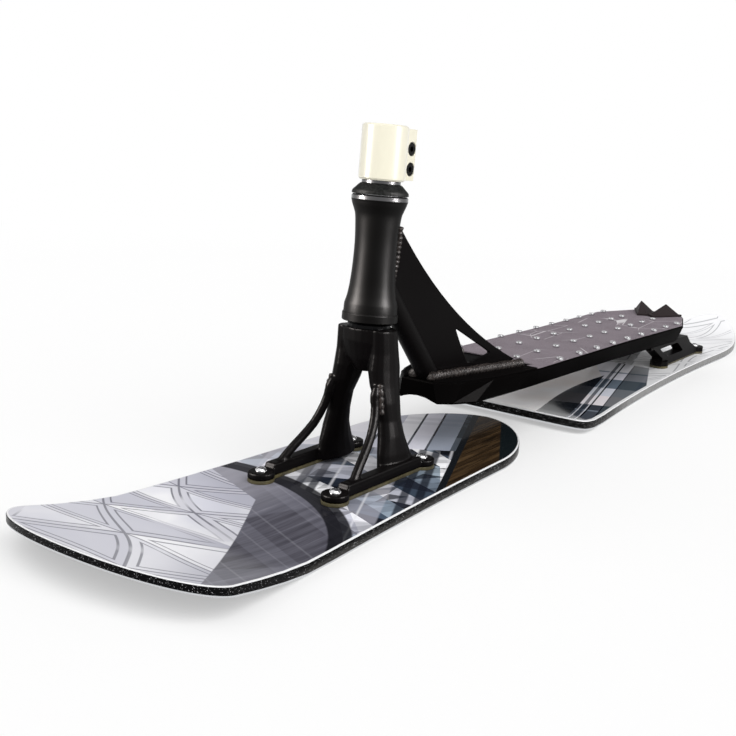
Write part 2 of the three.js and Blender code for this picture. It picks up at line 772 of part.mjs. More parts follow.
const capPlateLow = steererTop + seatGap;
const capPlateHigh = capPlateLow + compressionCapThickness;
const headSeat = capPlateHigh - compressionHeadThickness - seatGap;
piece('compression_cap', lathe([
  [boltRadius + fitGap, capPlateLow], [shimOuter, capPlateLow], [shimOuter, capPlateHigh],
  [compressionHeadRadius + fitGap, capPlateHigh], [compressionHeadRadius + fitGap, headSeat],
  [boltRadius + fitGap, headSeat], [boltRadius + fitGap, capPlateLow]
], innerSides), darkSteel, steering);

const starNutHigh = steererTop - starNutDepth;
const starNutLow = starNutHigh - starNutThickness;
const starNut = ring(boltRadius + fitGap, steererRadius - steererWall - seatGap, starNutLow,
  starNutHigh);
piece('star_nut', starNut, steel, steering);

const compressionBolt = lathe([
  [0, starNutLow], [boltRadius, starNutLow], [boltRadius, headSeat + seatGap],
  [compressionHeadRadius, headSeat + seatGap], [compressionHeadRadius, capPlateHigh],
  [0, capPlateHigh]
], boltSides);
const compressionKey = cylinder(boltSocketRadius, capPlateHigh - boltSocketDepth,
  capPlateHigh + overrun, 0, 0, socketSides);
piece('compression_bolt', cut(compressionBolt, compressionKey), darkSteel, steering);

// Deck: a tapered slab, lightened by pockets from below, with the neck's landing at the front

const deckStations = [
  // share of the length, share of the top half width, share of it at the foot
  [0, deckNoseHalfWidth / deckHalfWidth, 0.37, -0.004],
  [0.043, 0.62, 0.56, 0.02],
  [0.109, 0.815, 0.77, 0.052],
  [0.176, 0.93, 0.82, 0.02],
  [0.24, 1, 0.84, 0],
  [0.59, 0.99, 0.86, 0],
  [0.888, deckTailHalfWidth / deckHalfWidth, 0.95, 0.006],
  [1, 0.63, 0.55, 0.008]
];
const deckSide = (column) => deckStations.map(([along, top, foot, shift]) => {
  const width = column === 'top' ? top : foot;
  const slip = column === 'top' ? 0 : shift;
  return [-deckLength * (along - slip), deckHalfWidth * width];
});
const closedLoop = (leftSide) => [...mirroredY(leftSide), ...leftSide];
const deckTopLoop = closedLoop(deckSide('top'));
const deckFootLoop = closedLoop(deckSide('foot'));
const between = (one, two, share) => one.map(([x, y], i) =>
  [x + (two[i][0] - x) * share, y + (two[i][1] - y) * share]);
const atHeight = (loop, z) => loop.map(([x, y]) => [x, y, z]);

function deckBody() {
  const shoulder = between(deckTopLoop, deckFootLoop, deckTopBevel / deckHeight);
  const ankle = between(deckTopLoop, deckFootLoop, 1 - deckFootBevel / deckHeight);
  return loft([
    atHeight(inset(deckFootLoop, deckFootBevel), -deckHeight),
    atHeight(ankle, -deckHeight + deckFootBevel),
    atHeight(shoulder, -deckTopBevel),
    atHeight(inset(deckTopLoop, deckTopBevel), 0)
  ]);
}

function deckPocket(front) {
  const corner = deckPocketHalfWidth / 3;
  const rear = front - deckPocketLength;
  const shape = new THREE.Shape();
  shape.absarc(front - corner, deckPocketHalfWidth - corner, corner, 0, Math.PI / 2);
  shape.absarc(rear + corner, deckPocketHalfWidth - corner, corner, Math.PI / 2, Math.PI);
  shape.absarc(rear + corner, corner - deckPocketHalfWidth, corner, Math.PI, 1.5 * Math.PI);
  shape.absarc(front - corner, corner - deckPocketHalfWidth, corner, 1.5 * Math.PI, 2 * Math.PI);
  return new THREE.ExtrudeGeometry(shape, {
    depth: deckHeight - deckWall + overrun, bevelEnabled: false, curveSegments: 3
  }).translate(0, 0, -deckHeight - overrun);
}

const archRadius = (deckArchHalfWidth ** 2 + deckArchHeight ** 2) / (2 * deckArchHeight);
const arch = new THREE.CylinderGeometry(archRadius, archRadius, 2 * deckArchReach, roundSides)
  .rotateZ(Math.PI / 2)
  .translate(0, 0, -deckHeight + deckArchHeight - archRadius);
const pockets = [];
for (let i = 0; i < deckPocketCount; i++) {
  pockets.push(deckPocket(deckPocketFrontX - i * deckPocketPitch));
}
piece('deck', cut(deckBody(), arch, ...pockets), blackCoat, deckFrame);

// Neck: a bulb and two flared wings, coped to the head tube and trimmed along a hollow curve

const deckTopAt = (x) => deckTopZ + (x - deckFrontX) * Math.tan(deckPitch);
const neckBasis = new THREE.Matrix4().makeBasis(
  new THREE.Vector3(-Math.sin(neckSlope), 0, Math.cos(neckSlope)),
  new THREE.Vector3(0, 1, 0),
  new THREE.Vector3(-Math.cos(neckSlope), 0, -Math.sin(neckSlope))
).setPosition(neckFootX, 0, neckFootZ);

function neckSection() {
  const wingY = neckBulbRadius - wingInset;
  const bulb = ellipse(neckBulbRadius, 0, 0, neckBulbRadius, neckBulbRadius, innerSides)
    .map(([x, y]) => [x, y]);
  const bore = inset(bulb, neckWall);
  const wing = [
    [wingStart - neckWall * 1.5, wingY - neckWall], [wingDepth, wingY - neckWall
      + (wingDepth - wingStart) * wingFlare],
    [wingDepth, wingY + (wingDepth - wingStart) * wingFlare], [wingStart, wingY],
    [wingStart - neckWall * 1.5, wingY]
  ];
  const low = -neckFootZ * 4;
  const high = neckFootZ;
  const wings = [wing, mirroredY(wing)].map((outline) => prism(outline, low, high));
  const tube = prism(bulb, low, high);
  return cut(join(tube, ...wings), prism(bore, low - overrun, high + overrun));
}

const neckBottomAt = (x) => deckTopAt(x) + fitGap;
const wingEdge = new THREE.QuadraticBezierCurve(
  new THREE.Vector2(wingTipX, neckBottomAt(wingTipX) + wingTipHeight),
  new THREE.Vector2(wingCurveX, wingCurveZ),
  new THREE.Vector2(wingTopX, wingTopZ)
).getPoints(wingEdgeSteps).map(({ x, y }) => [x, y]);
const axisX = (z) => -z * Math.tan(rakeAngle);
const neckSide = sidePrism([
  [deckFrontX + overrun, neckBottomAt(deckFrontX + overrun)],
  [axisX(headTubeBottom), headTubeBottom],
  [axisX(wingTopZ), wingTopZ],
  ...wingEdge.reverse(),
  [wingTipX, neckBottomAt(wingTipX)]
], -deckHalfWidth, deckHalfWidth);
const headTubeSpace = leaned(lathe([
  [0, headTubeBottom - overrun],
  [headTubeFlangeRadius + fitGap, headTubeBottom - overrun],
  ...headTubeOuter.slice(1).map(([r, z]) => [r + fitGap, z]),
  [0, headTubeTop]
]));

function roundedTriangle(corners, radius) {
  const points = [];
  corners.forEach((corner, i) => {
    const [before, here, after] = [corners.at(i - 1), corner, corners[(i + 1) % corners.length]]
      .map(([x, y]) => new THREE.Vector2(x, y));
    const start = here.clone().lerp(before, radius / here.distanceTo(before));
    const end = here.clone().lerp(after, radius / here.distanceTo(after));
    points.push(...new THREE.QuadraticBezierCurve(start, here, end).getPoints(cornerSteps));
  });
  return points.map(({ x, y }) => [x, y]);
}

// The hole's corners, as shares of the way from the bulb's foot to the wing's tip and up
const holeShares = [[0.2, 0.31], [0.405, 0.035], [0.635, 0.087]];
const holeCorners = holeShares.map(([back, up]) => [
  neckFootX + (wingTipX - neckFootX) * back,
  neckFootZ + (wingTopZ - neckFootZ) * up
]);
const neckHole = sidePrism(roundedTriangle(holeCorners, neckBulbRadius * 0.6), -deckHalfWidth,
  deckHalfWidth);
const neckBar = neckSection().applyMatrix4(neckBasis);
piece('neck', cut(common(neckBar, neckSide), headTubeSpace, neckHole), blackCoat);

// A weld bead along the foot of each wing
for (const [word, side] of [['left', 1], ['right', -1]]) {
  const clear = weldRadius + fitGap;
  const place = (x) => {
    const z = deckTopAt(x) + clear;
    const depth = -Math.sin(neckSlope) * (x - neckFootX) + Math.cos(neckSlope) * (z - neckFootZ);
    const wingFace = neckBulbRadius - wingInset + (depth - wingStart) * wingFlare;
    return new THREE.Vector3(x, side * (wingFace + clear * Math.hypot(1, wingFlare)), z);
  };
  const startX = neckFootX + (wingTipX - neckFootX) * weldStartShare;
  const path = new THREE.LineCurve3(place(startX), place(wingTipX));
  const section = new THREE.Shape(ellipse(0, 0, 0, weldRadius, weldRadius, boltSides)
    .map(([x, y]) => new THREE.Vector2(x, y)));
  const bead = new THREE.ExtrudeGeometry(section, { steps: 1, extrudePath: path, bevelEnabled: false });
  piece(`neck_weld_${word}`, bead, blackCoat);
}

// Grip sheet with its studs, cut out round the neck

const gripOutline = inset(deckTopLoop, gripInset);
const local = (x) => x - deckFrontX;
const gripCutTip = [local(wingTipX) - gripNeckMargin / 2, (neckFootX - wingTipX) * wingFlare
  + gripNeckMargin / 4];
const gripCutLeft = [
  gripCutTip,
  [local(neckFootX) + gripNeckMargin, neckBulbRadius + gripNeckMargin / 4]
];
const gripCut = prism([...gripCutLeft, ...mirroredY(gripCutLeft)], -overrun, overrun);
// Up a stud's side: how far out and how high
const studShares = [[1, 0.3], [0.72, 0.85], [0, 1]];
const stud = lathe([
  [0, gripThickness / 2],
  [studRadius, gripThickness / 2],
  ...studShares.map(([out, up]) => [studRadius * out, gripThickness + studHeight * up])
], studSides);
// How far from the neck to the tail stop the studs of each kind of row sit
const longRowShares = [0.015, 0.131, 0.246, 0.358, 0.467, 0.572, 0.673, 0.772, 0.865, 0.958];
const shortRowShares = [0.093, 0.212, 0.325, 0.436, 0.543, 0.647, 0.749, 0.847, 0.943];
const farRowShares = [0.077, 0.197, 0.305, 0.413, 0.52, 0.628, 0.73, 0.828, 0.913];
const studsStartX = local(wingTipX) - gripNeckMargin;
const studRows = [
  { across: outerRowShare, along: shortRowShares },
  { across: innerRowShare, along: longRowShares },
  { across: -innerRowShare, along: farRowShares },
  { across: -outerRowShare, along: longRowShares }
];
const studs = studRows.flatMap(({ across, along }) => along.map((share) =>
  moved(stud, studsStartX + (stopFrontX - studsStartX) * share, deckHalfWidth * across, 0)));
piece('grip_sheet', join(cut(prism(gripOutline, seatGap, gripThickness), gripCut), ...studs),
  gripSheet, deckFrame);

// Tail stop: two horns, each a leaning pyramid, on one low plate

function horn(side) {
  const low = gripThickness + seatGap;
  const base = [
    [stopFrontX, side * stopFrontY, low],
    [stopFrontX - stopValleyDepth, 0, low],
    [stopRearX + stopBackDepth, 0, low],
    [stopRearX, side * stopRearY, low]
  ];
  if (side > 0) base.reverse();
  const apex = [stopRearX + stopApexSetback, side * stopApexY, low + stopHeight];
  const geometry = new THREE.BufferGeometry();
  geometry.setAttribute('position', new THREE.Float32BufferAttribute([...base, apex].flat(), 3));
  geometry.setIndex([0, 2, 1, 0, 3, 2, 0, 1, 4, 1, 2, 4, 2, 3, 4, 3, 0, 4]);
  return geometry;
}

const stopPlate = prism([
  [stopFrontX, stopFrontY], [stopRearX, stopRearY], [stopRearX + stopBackDepth, 0],
  [stopRearX, -stopRearY], [stopFrontX, -stopFrontY], [stopFrontX - stopValleyDepth, 0]
], gripThickness + seatGap, gripThickness + seatGap + stopPlateHeight);
piece('tail_stop', join(stopPlate, horn(1), horn(-1)), gripSheet, deckFrame);

// Rear truck: a plate under the deck, and on each side a frame with two raked legs

const deckFootAt = (x) => deckTopAt(x) - deckHeight - fitGap;

function truckSide(side) {
  const y = side * boltSpacingY / 2;
  const frontBoss = rearPatternX + boltSpacingX / 2;
  const rearBoss = rearPatternX - boltSpacingX / 2;
  const footTop = bossTop + fitGap;
  const outer = [
    [truckFrontX, deckFootAt(truckFrontX)],
    [truckRearX, deckFootAt(truckRearX)],
    [truckRearX - truckHeelReach, (deckFootAt(truckRearX) + footTop) / 2],
    [rearBoss + bossRadius, footTop],
    [rearBoss + bossRadius, footLow - bite],
    [frontBoss + bossRadius, footLow - bite],
    [frontBoss + truckToeReach, footTop + footRidgeHeight]
  ];
  const archTop = deckFootAt(rearPatternX) - truckPlateThickness;
  const opening = [
    [truckFrontX - truckLegThickness, archTop],
    [truckRearX + truckRearLegThickness, archTop],
    [truckRearX + truckWindowHeel, footTop + footRidgeHeight],
    [frontBoss - truckWindowToe, footTop + footRidgeHeight]
  ];
  const shell = sidePrism(outer, y - truckLegWidth / 2, y + truckLegWidth / 2);
  const hole = sidePrism(roundedTriangle(opening, truckLegWidth / 3), y - truckLegWidth,
    y + truckLegWidth);
  return join(cut(shell, hole), footPlan(footLow - 2 * bite, bossTop, rearPatternX, side));
}

const plateSide = [
  [truckFrontX, deckFootAt(truckFrontX)],
  [truckRearX, deckFootAt(truckRearX)],
  [truckRearX, deckFootAt(truckRearX) - truckPlateThickness],
  [truckFrontX, deckFootAt(truckFrontX) - truckPlateThickness]
];
const truckPlate = sidePrism(plateSide, -truckPlateHalfWidth, truckPlateHalfWidth);
const truckHoles = [1, -1].flatMap((side) =>
  boltHoles(rearPatternX, side, footLow - overrun, bossTop + overrun));
const headRoom = boltPlaces(rearPatternX).map(({ x, y }) =>
  cylinder(boltHeadRadius + runGap, bossTop, bossTop + boltHeadHeight + runGap, x, y));
piece('rear_truck', cut(join(truckPlate, truckSide(1), truckSide(-1)), underFoot, ...truckHoles,
  ...headRoom), blackCoat);
pads('rear', rearPatternX);
bolts('rear', rearPatternX);

export default group;
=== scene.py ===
import json
import math

import bmesh
import bpy
from mathutils import Matrix, Vector

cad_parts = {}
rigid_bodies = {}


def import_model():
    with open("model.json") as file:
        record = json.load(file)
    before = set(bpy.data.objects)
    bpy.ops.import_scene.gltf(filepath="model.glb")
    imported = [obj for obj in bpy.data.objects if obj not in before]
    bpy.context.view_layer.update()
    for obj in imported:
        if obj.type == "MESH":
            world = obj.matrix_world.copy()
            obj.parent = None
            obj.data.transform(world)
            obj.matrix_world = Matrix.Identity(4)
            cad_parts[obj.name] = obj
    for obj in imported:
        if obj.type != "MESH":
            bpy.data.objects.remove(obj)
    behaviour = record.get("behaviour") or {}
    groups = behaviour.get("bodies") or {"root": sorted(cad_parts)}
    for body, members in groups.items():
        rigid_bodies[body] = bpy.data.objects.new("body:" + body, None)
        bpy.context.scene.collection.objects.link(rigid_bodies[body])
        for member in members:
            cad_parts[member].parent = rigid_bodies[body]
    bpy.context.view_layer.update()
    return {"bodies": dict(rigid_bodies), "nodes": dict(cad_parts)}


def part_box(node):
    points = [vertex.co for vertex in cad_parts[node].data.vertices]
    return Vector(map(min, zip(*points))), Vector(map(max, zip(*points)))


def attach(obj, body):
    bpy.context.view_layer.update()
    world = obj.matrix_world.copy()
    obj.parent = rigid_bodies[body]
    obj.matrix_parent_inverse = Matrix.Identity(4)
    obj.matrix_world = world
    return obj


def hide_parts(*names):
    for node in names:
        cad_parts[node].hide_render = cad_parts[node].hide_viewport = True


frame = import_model()
nodes = frame["nodes"]
scene = bpy.context.scene

# Studio: a plain white floor that runs out to a white backdrop, under a broad soft sky, with two
# narrow strip lamps for the long highlights on black metal. The camera stands low in front of the
# scooter, on its left, as in the photograph.
CAMERA_PLACE = Vector((0.78813, 0.573945, 0.337848))
YAW, PITCH, ROLL = (math.radians(angle) for angle in (214.90, -13.32, 2.73))
camera = bpy.data.objects.new("camera", bpy.data.cameras.new("camera"))
scene.collection.objects.link(camera)
scene.camera = camera
camera.data.sensor_width = 36
camera.data.lens = 54.89
camera.data.shift_x = -0.0202
camera.data.shift_y = -0.0019
camera.data.clip_start = 0.05
camera.data.clip_end = 60
sight = Vector((math.cos(YAW) * math.cos(PITCH), math.sin(YAW) * math.cos(PITCH), math.sin(PITCH)))
level = sight.cross(Vector((0, 0, 1))).normalized()
upward = level.cross(sight)
right = level * math.cos(ROLL) + upward * math.sin(ROLL)
top = upward * math.cos(ROLL) - level * math.sin(ROLL)
facing = Matrix((right, top, -sight)).transposed().to_4x4()
camera.matrix_world = Matrix.Translation(CAMERA_PLACE) @ facing
scene.view_settings.view_transform = "Standard"


# Node trees are wired in plain steps. Each step makes a node and gives back its socket, and what
# is fed in may be a number, a colour or another node's socket.
class Wiring:
    def __init__(self, tree):
        self.tree = tree

    def feed(self, node, socket, value):
        numbered = socket[0] == "i" and socket[1:].isdigit()
        place = node.inputs[int(socket[1:]) if numbered else socket.replace("_", " ")]
        if isinstance(value, bpy.types.NodeSocket):
            self.tree.links.new(value, place)
        elif isinstance(value, tuple) and place.type == "RGBA" and len(value) == 3:
            place.default_value = (*value, 1)
        else:
            place.default_value = value

    def node(self, kind, **values):
        made = self.tree.nodes.new("ShaderNode" + kind)
        for socket, value in values.items():
            self.feed(made, socket, value)
        return made

    def math(self, operation, *values, kind="Math", out="Value"):
        made = self.tree.nodes.new("ShaderNode" + kind)
        made.operation = operation
        for i, value in enumerate(values):
            self.feed(made, f"i{i}", value)
        return made.outputs[out]

    def vector(self, operation, *values):
        out = "Value" if operation in ("DISTANCE", "DOT_PRODUCT") else "Vector"
        return self.math(operation, *values, kind="VectorMath", out=out)

    def mix(self, share, a, b, blend="MIX"):
        made = self.tree.nodes.new("ShaderNodeMix")
        made.data_type = "RGBA"
        made.blend_type = blend
        for socket, value in (("i0", share), ("i6", a), ("i7", b)):
            self.feed(made, socket, value)
        return made.outputs[2]

    def ramp(self, value, *stops, step=False):
        made = self.tree.nodes.new("ShaderNodeValToRGB")
        if step:
            made.color_ramp.interpolation = "CONSTANT"
        while len(made.color_ramp.elements) < len(stops):
            made.color_ramp.elements.new(0.5)
        for element, (position, color) in zip(made.color_ramp.elements, stops):
            element.position = position
            element.color = (*color, 1) if isinstance(color, tuple) else (color, color, color, 1)
        self.feed(made, "i0", value)
        return made.outputs[0]

    def rise(self, value, start, end):
        """0 before the first number, 1 after the second."""
        made = self.node("MapRange", Value=value, From_Min=start, From_Max=end)
        made.interpolation_type = "SMOOTHSTEP"
        return made.outputs["Result"]

    def noise(self, vector, scale, detail=2.0, roughness=0.5, distortion=0.0):
        return self.node("TexNoise", Vector=vector, Scale=scale, Detail=detail, Roughness=roughness,
                         Distortion=distortion).outputs["Fac"]

    def turned(self, vector, angle, scale):
        made = self.node("Mapping", Vector=vector, Scale=scale)
        made.inputs["Rotation"].default_value = (0, 0, math.radians(angle))
        return made.outputs[0]

    def place(self):
        return self.node("TexCoord").outputs["Object"]

    def bump(self, height, strength, distance):
        return self.node("Bump", Height=height, Strength=strength, Distance=distance).outputs[0]

    def group(self, effect, **values):
        made = self.tree.nodes.new("ShaderNodeGroup")
        made.node_tree = effect.tree
        for socket, value in values.items():
            self.feed(made, socket, value)
        return made.outputs

    def outside(self, mask):
        return self.math("SUBTRACT", 1.0, mask)

    def both(self, *masks):
        total = masks[0]
        for mask in masks[1:]:
            total = self.math("MULTIPLY", total, mask)
        return total

    def past(self, place, point, way):
        """How far a place lies past a point, measured one way in the plane of a sheet."""
        return self.vector("DOT_PRODUCT", self.vector("SUBTRACT", place, (*point, 0)), (*way, 0))

    def beyond(self, place, point, turn, soft=0.0006):
        """0 to 1 across a straight line through a point, with turn as the way that it faces."""
        way = (math.cos(math.radians(turn)), math.sin(math.radians(turn)))
        return self.rise(self.past(place, point, way), -soft, soft)

    def paint(self, color, *layers):
        """Shades laid over a colour in turn, each through its mask and with its share."""
        for mask, share, shade in layers:
            color = self.mix(self.math("MULTIPLY", mask, share), color, shade)
        return color


scene.world = bpy.data.worlds.new("studio")
scene.world.use_nodes = True
air = Wiring(scene.world.node_tree)
air.tree.nodes.clear()
direction = air.node("SeparateXYZ", i0=air.node("TexCoord").outputs["Generated"])
room = air.ramp(air.math("MULTIPLY_ADD", direction.outputs["Z"], 0.5, 0.5),
                (0.0, (1.0, 1.0, 1.0)), (0.587, (1.0, 1.0, 1.0)), (0.612, (0.24, 0.24, 0.245)),
                (0.85, (0.15, 0.15, 0.155)))
room_air = air.node("Background", Color=room)
air.node("OutputWorld", Surface=room_air.outputs[0])


def lamp(kind, name, place, aim, power, size, color=(1, 1, 1)):
    light = bpy.data.lights.new(name, kind)
    light.energy = power
    light.color = color
    if kind == "SUN":
        light.angle = size
    else:
        light.shape = "RECTANGLE"
        light.size, light.size_y = size
    thing = bpy.data.objects.new(name, light)
    scene.collection.objects.link(thing)
    thing.location = place
    thing.rotation_euler = (Vector(aim) - Vector(place)).to_track_quat("-Z", "Y").to_euler()


lamp("SUN", "sky_panel", (0.4, 1.1, 1.25), (0, 0, 0), 2.3, math.radians(70))
lamp("SUN", "front_fill", (1.0, -0.9, 1.5), (0, 0, 0), 1.2, math.radians(80))
lamp("AREA", "left_strip", (1.0, -0.9, 0.8), (0, 0, 0.2), 300, (0.4, 1.0), (1, 0.93, 0.89))
lamp("AREA", "right_strip", (-0.35, 1.25, 0.8), (-0.05, 0, 0.18), 260, (0.4, 1.0), (1, 0.96, 0.95))
for strip in ("left_strip", "right_strip"):
    bpy.data.objects[strip].visible_diffuse = False


# A finish is one material, with its Principled shader
class Finish(Wiring):
    def __init__(self, name, color=(0.5, 0.5, 0.5), roughness=0.5, metallic=0.0, **sockets):
        self.material = bpy.data.materials.new(name)
        self.material.use_nodes = True
        super().__init__(self.material.node_tree)
        self.shader = self.tree.nodes["Principled BSDF"]
        self.give(Base_Color=color, Roughness=roughness, Metallic=metallic, **sockets)

    def give(self, **values):
        for socket, value in values.items():
            self.feed(self.shader, socket, value)


FLOOR_REACH = 20
corners = [(x * FLOOR_REACH, y * FLOOR_REACH, 0) for x, y in ((-1, -1), (1, -1), (1, 1), (-1, 1))]
floor_mesh = bpy.data.meshes.new("floor")
floor_mesh.from_pydata(corners, [], [(0, 1, 2, 3)])
floor = bpy.data.objects.new("floor", floor_mesh)
scene.collection.objects.link(floor)
# The steering axis leans, so a turned ski dips on one side, and the floor gives way by as much
STEERING_LIMIT, SKI_DIP = 110, 0.026
for least, most in ((0, STEERING_LIMIT), (-STEERING_LIMIT, 0)):
    give_way = floor.constraints.new("TRANSFORM")
    give_way.target = frame["bodies"]["steering"]
    give_way.map_from = "ROTATION"
    give_way.from_min_z_rot, give_way.from_max_z_rot = math.radians(least), math.radians(most)
    give_way.map_to = "LOCATION"
    give_way.map_to_z_from = "Z"
    give_way.to_min_z = -SKI_DIP if least else 0
    give_way.to_max_z = -SKI_DIP if most else 0
paper = Finish("floor_paper", (0.97, 0.97, 0.965), 0.9, Specular_IOR_Level=0)
glow = paper.node("Emission", Color=(1, 1, 1), Strength=1.0).outputs[0]
ray = paper.node("LightPath").outputs
away = paper.rise(paper.vector("DISTANCE", paper.place(), (-0.2, 0.1, 0)), 1.0, 2.0)
seen = paper.math("MULTIPLY", paper.math("MAXIMUM", away, 0.4), ray["Is Camera Ray"])
mirrored = paper.math("MAXIMUM", ray["Is Glossy Ray"], ray["Is Transmission Ray"])
whitened = paper.math("MAXIMUM", seen, mirrored)
laid = paper.node("MixShader", i0=whitened, i1=paper.shader.outputs[0], i2=glow)
paper.tree.links.new(laid.outputs[0], paper.tree.nodes["Material Output"].inputs["Surface"])
floor_mesh.materials.append(paper.material)

# Front ski: a laminate 10.5 mm thick of a sintered base in a steel edge, a core with plastic
# sidewalls and a printed sheet under clear gloss. The layers are pressed together, so they bend
# up as one at the nose. It is wider than the rear ski, and turns with the fork.
FRONT_SKI = dict(front=0.328, front_reach=0.048, front_half=0.110, front_power=2.15, front_rise=0.025,
                 front_rise_reach=0.144, front_bend=1.5, front_thin=0.32, waist=0.0954, tail_half=0.0873,
                 tail_start=-0.117, tail_reach=0.122, tail_power=1.75, rear=-0.239, rear_rise=0.0,
                 rear_rise_reach=0.122, rear_thin=0.0)
SKI_TOP = 0.0105


def ski_side(ski, inset, corner_steps=44, side_steps=14):
    """The left half of the outline, from the front tip to the tail tip."""
    shoulder = ski["front"] - ski["front_reach"]
    points = []
    for i in range(corner_steps + 1):
        turn = i / corner_steps * math.pi / 2
        power = 2 / ski["front_power"]
        points.append((shoulder + (ski["front_reach"] - inset) * abs(math.cos(turn)) ** power,
                       (ski["front_half"] - inset) * math.sin(turn) ** power))
    sidecut = (ski["front_half"] + ski["tail_half"]) / 2 - ski["waist"]
    for i in range(1, side_steps):
        share = i / side_steps
        straight = ski["front_half"] * (1 - share) + ski["tail_half"] * share
        points.append((shoulder + (ski["tail_start"] - shoulder) * share,
                       straight - 4 * sidecut * share * (1 - share) - inset))
    for i in range(corner_steps, -1, -1):
        turn = i / corner_steps * math.pi / 2
        power = 2 / ski["tail_power"]
        points.append((ski["tail_start"] - (ski["tail_reach"] - inset) * abs(math.cos(turn)) ** power,
                       (ski["tail_half"] - inset) * math.sin(turn) ** power))
    return points


def ski_height(ski, x, level):
    ahead = max(0, x - (ski["front"] - ski["front_rise_reach"])) / ski["front_rise_reach"]
    behind = max(0, ski["rear"] + ski["rear_rise_reach"] - x) / ski["rear_rise_reach"]
    rise = ski["front_rise"] * ahead ** ski["front_bend"] + ski["rear_rise"] * behind ** 2
    thinning = ski["front_thin"] * ahead + ski["rear_thin"] * behind
    return rise + SKI_TOP - (SKI_TOP - level) * (1 - thinning)


def lay(name, body, mesh, finish, sharp=None):
    """A mesh becomes a smooth piece with its finish, and rides on its body."""
    mesh.shade_smooth()
    if sharp:
        mesh.set_sharp_from_angle(angle=math.radians(sharp))
    mesh.materials.append(finish.material)
    thing = bpy.data.objects.new(name, mesh)
    scene.collection.objects.link(thing)
    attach(thing, body)
    return thing


def mesh_piece(name, body, points, faces, finish, sharp=40, inside=None):
    """A closed piece from its points and faces. Inside is each point's distance from the rim."""
    mesh = bpy.data.meshes.new(name)
    mesh.from_pydata(points, [], faces)
    if inside:
        mesh.attributes.new("from_edge", "FLOAT", "POINT").data.foreach_set("value", inside)
    shape = bmesh.new()
    shape.from_mesh(mesh)
    bmesh.ops.remove_doubles(shape, verts=shape.verts, dist=2e-6)
    bmesh.ops.recalc_face_normals(shape, faces=shape.faces)
    shape.to_mesh(mesh)
    shape.free()
    return lay(name, body, mesh, finish, sharp)


def skin_faces(rows, ring, closed):
    """Faces over rings of points. Where the skin is closed, its last ring also meets its first."""
    return [(k * ring + j, k * ring + (j + 1) % ring, (k + 1) % rows * ring + (j + 1) % ring,
             (k + 1) % rows * ring + j) for k in range(rows if closed else rows - 1) for j in range(ring)]


def ski_slab(name, body, ski, section, finish, across=12):
    """A layer as wide as the ski: section holds (inset, level) from the underside up to the top face."""
    sides = [ski_side(ski, inset) for inset, _ in section]
    points, inside = [], []
    count = len(sides[0])
    for k in range(count):
        row = [(*sides[i][k], level, inset) for i, (inset, level) in enumerate(section)]
        x, half = row[-1][0], row[-1][1]
        deep = row[-1][3] + min(half, 0.03)
        inner = [(x, half * (1 - 2 * j / across), row[-1][2], deep) for j in range(1, across)]
        mirrored = [(px, -py, pz, pi) for px, py, pz, pi in reversed(row)]
        for px, py, pz, pi in row + inner + mirrored:
            points.append((px, py, ski_height(ski, px, pz)))
            inside.append(pi)
    faces = skin_faces(count, len(points) // count, closed=False)
    return mesh_piece(name, body, points, faces, finish, inside=inside)


def ski_hoop(name, body, ski, section, finish):
    """A strip that runs all round the ski: section holds its (inset, level) corners."""
    sides = [ski_side(ski, inset) for inset, _ in section]
    points = []
    for k in range(len(sides[0])):
        points += [(*sides[i][k], level) for i, (_, level) in enumerate(section)]
    for k in range(len(sides[0]) - 2, 0, -1):
        points += [(sides[i][k][0], -sides[i][k][1], level) for i, (_, level) in enumerate(section)]
    points = [(x, y, ski_height(ski, x, z)) for x, y, z in points]
    faces = skin_faces(len(points) // len(section), len(section), closed=True)
    return mesh_piece(name, body, points, faces, finish)


# An effect is a node group that several finishes share, with named inputs and outputs
class Effect(Wiring):
    def __init__(self, name, inputs, outputs):
        super().__init__(bpy.data.node_groups.new(name, "ShaderNodeTree"))
        kinds = {"float": "NodeSocketFloat", "vector": "NodeSocketVector"}
        for socket, kind in inputs.items():
            self.tree.interface.new_socket(socket, in_out="INPUT", socket_type=kinds[kind])
        for socket, kind in outputs.items():
            self.tree.interface.new_socket(socket, in_out="OUTPUT", socket_type=kinds[kind])
        self.given = self.tree.nodes.new("NodeGroupInput").outputs
        self.out = self.tree.nodes.new("NodeGroupOutput")


# Hairline scratches in two directions, as on a sheet that has been carried and stacked
hairlines = Effect("hairlines", {"Vector": "vector", "Amount": "float"}, {"Mask": "float"})
lines = []
for turn, stretch in ((24, 900), (-51, 700)):
    field = hairlines.noise(hairlines.turned(hairlines.given["Vector"], turn, (6, stretch, 6)), 1.0, 1.0)
    lines.append(hairlines.rise(field, 0.71, 0.76))
crossed = hairlines.math("MAXIMUM", *lines)
hairlines.feed(hairlines.out, "Mask", hairlines.both(crossed, hairlines.given["Amount"]))

# Shards: flat splinters between three families of slightly bent lines. Each splinter has a random
# tone, and Edge is the distance to the nearest line.
shards = Effect("shards", {"Vector": "vector", "Scale": "float", "Turn": "vector"},
                {"Tone": "float", "Edge": "float"})
skewed = shards.node("Mapping", Vector=shards.given["Vector"], Rotation=shards.given["Turn"],
                     Scale=(1.0, 1.0, 0.0)).outputs[0]
sway = shards.node("TexNoise", Vector=skewed, Scale=5.0, Detail=0.0).outputs["Color"]
sway = shards.vector("MULTIPLY", shards.vector("SUBTRACT", sway, (0.5, 0.5, 0.5)), (0.09, 0.09, 0.09))
axes = shards.node("SeparateXYZ", i0=shards.vector("ADD", skewed, sway)).outputs
slant = shards.math("ADD", shards.math("MULTIPLY", axes["X"], 0.42), axes["Y"])
first = shards.math("MULTIPLY", axes["X"], shards.given["Scale"])
second = shards.math("MULTIPLY", slant, shards.given["Scale"])
families = (first, second, shards.math("ADD", first, second))
cell = [shards.math("FLOOR", way) for way in families]
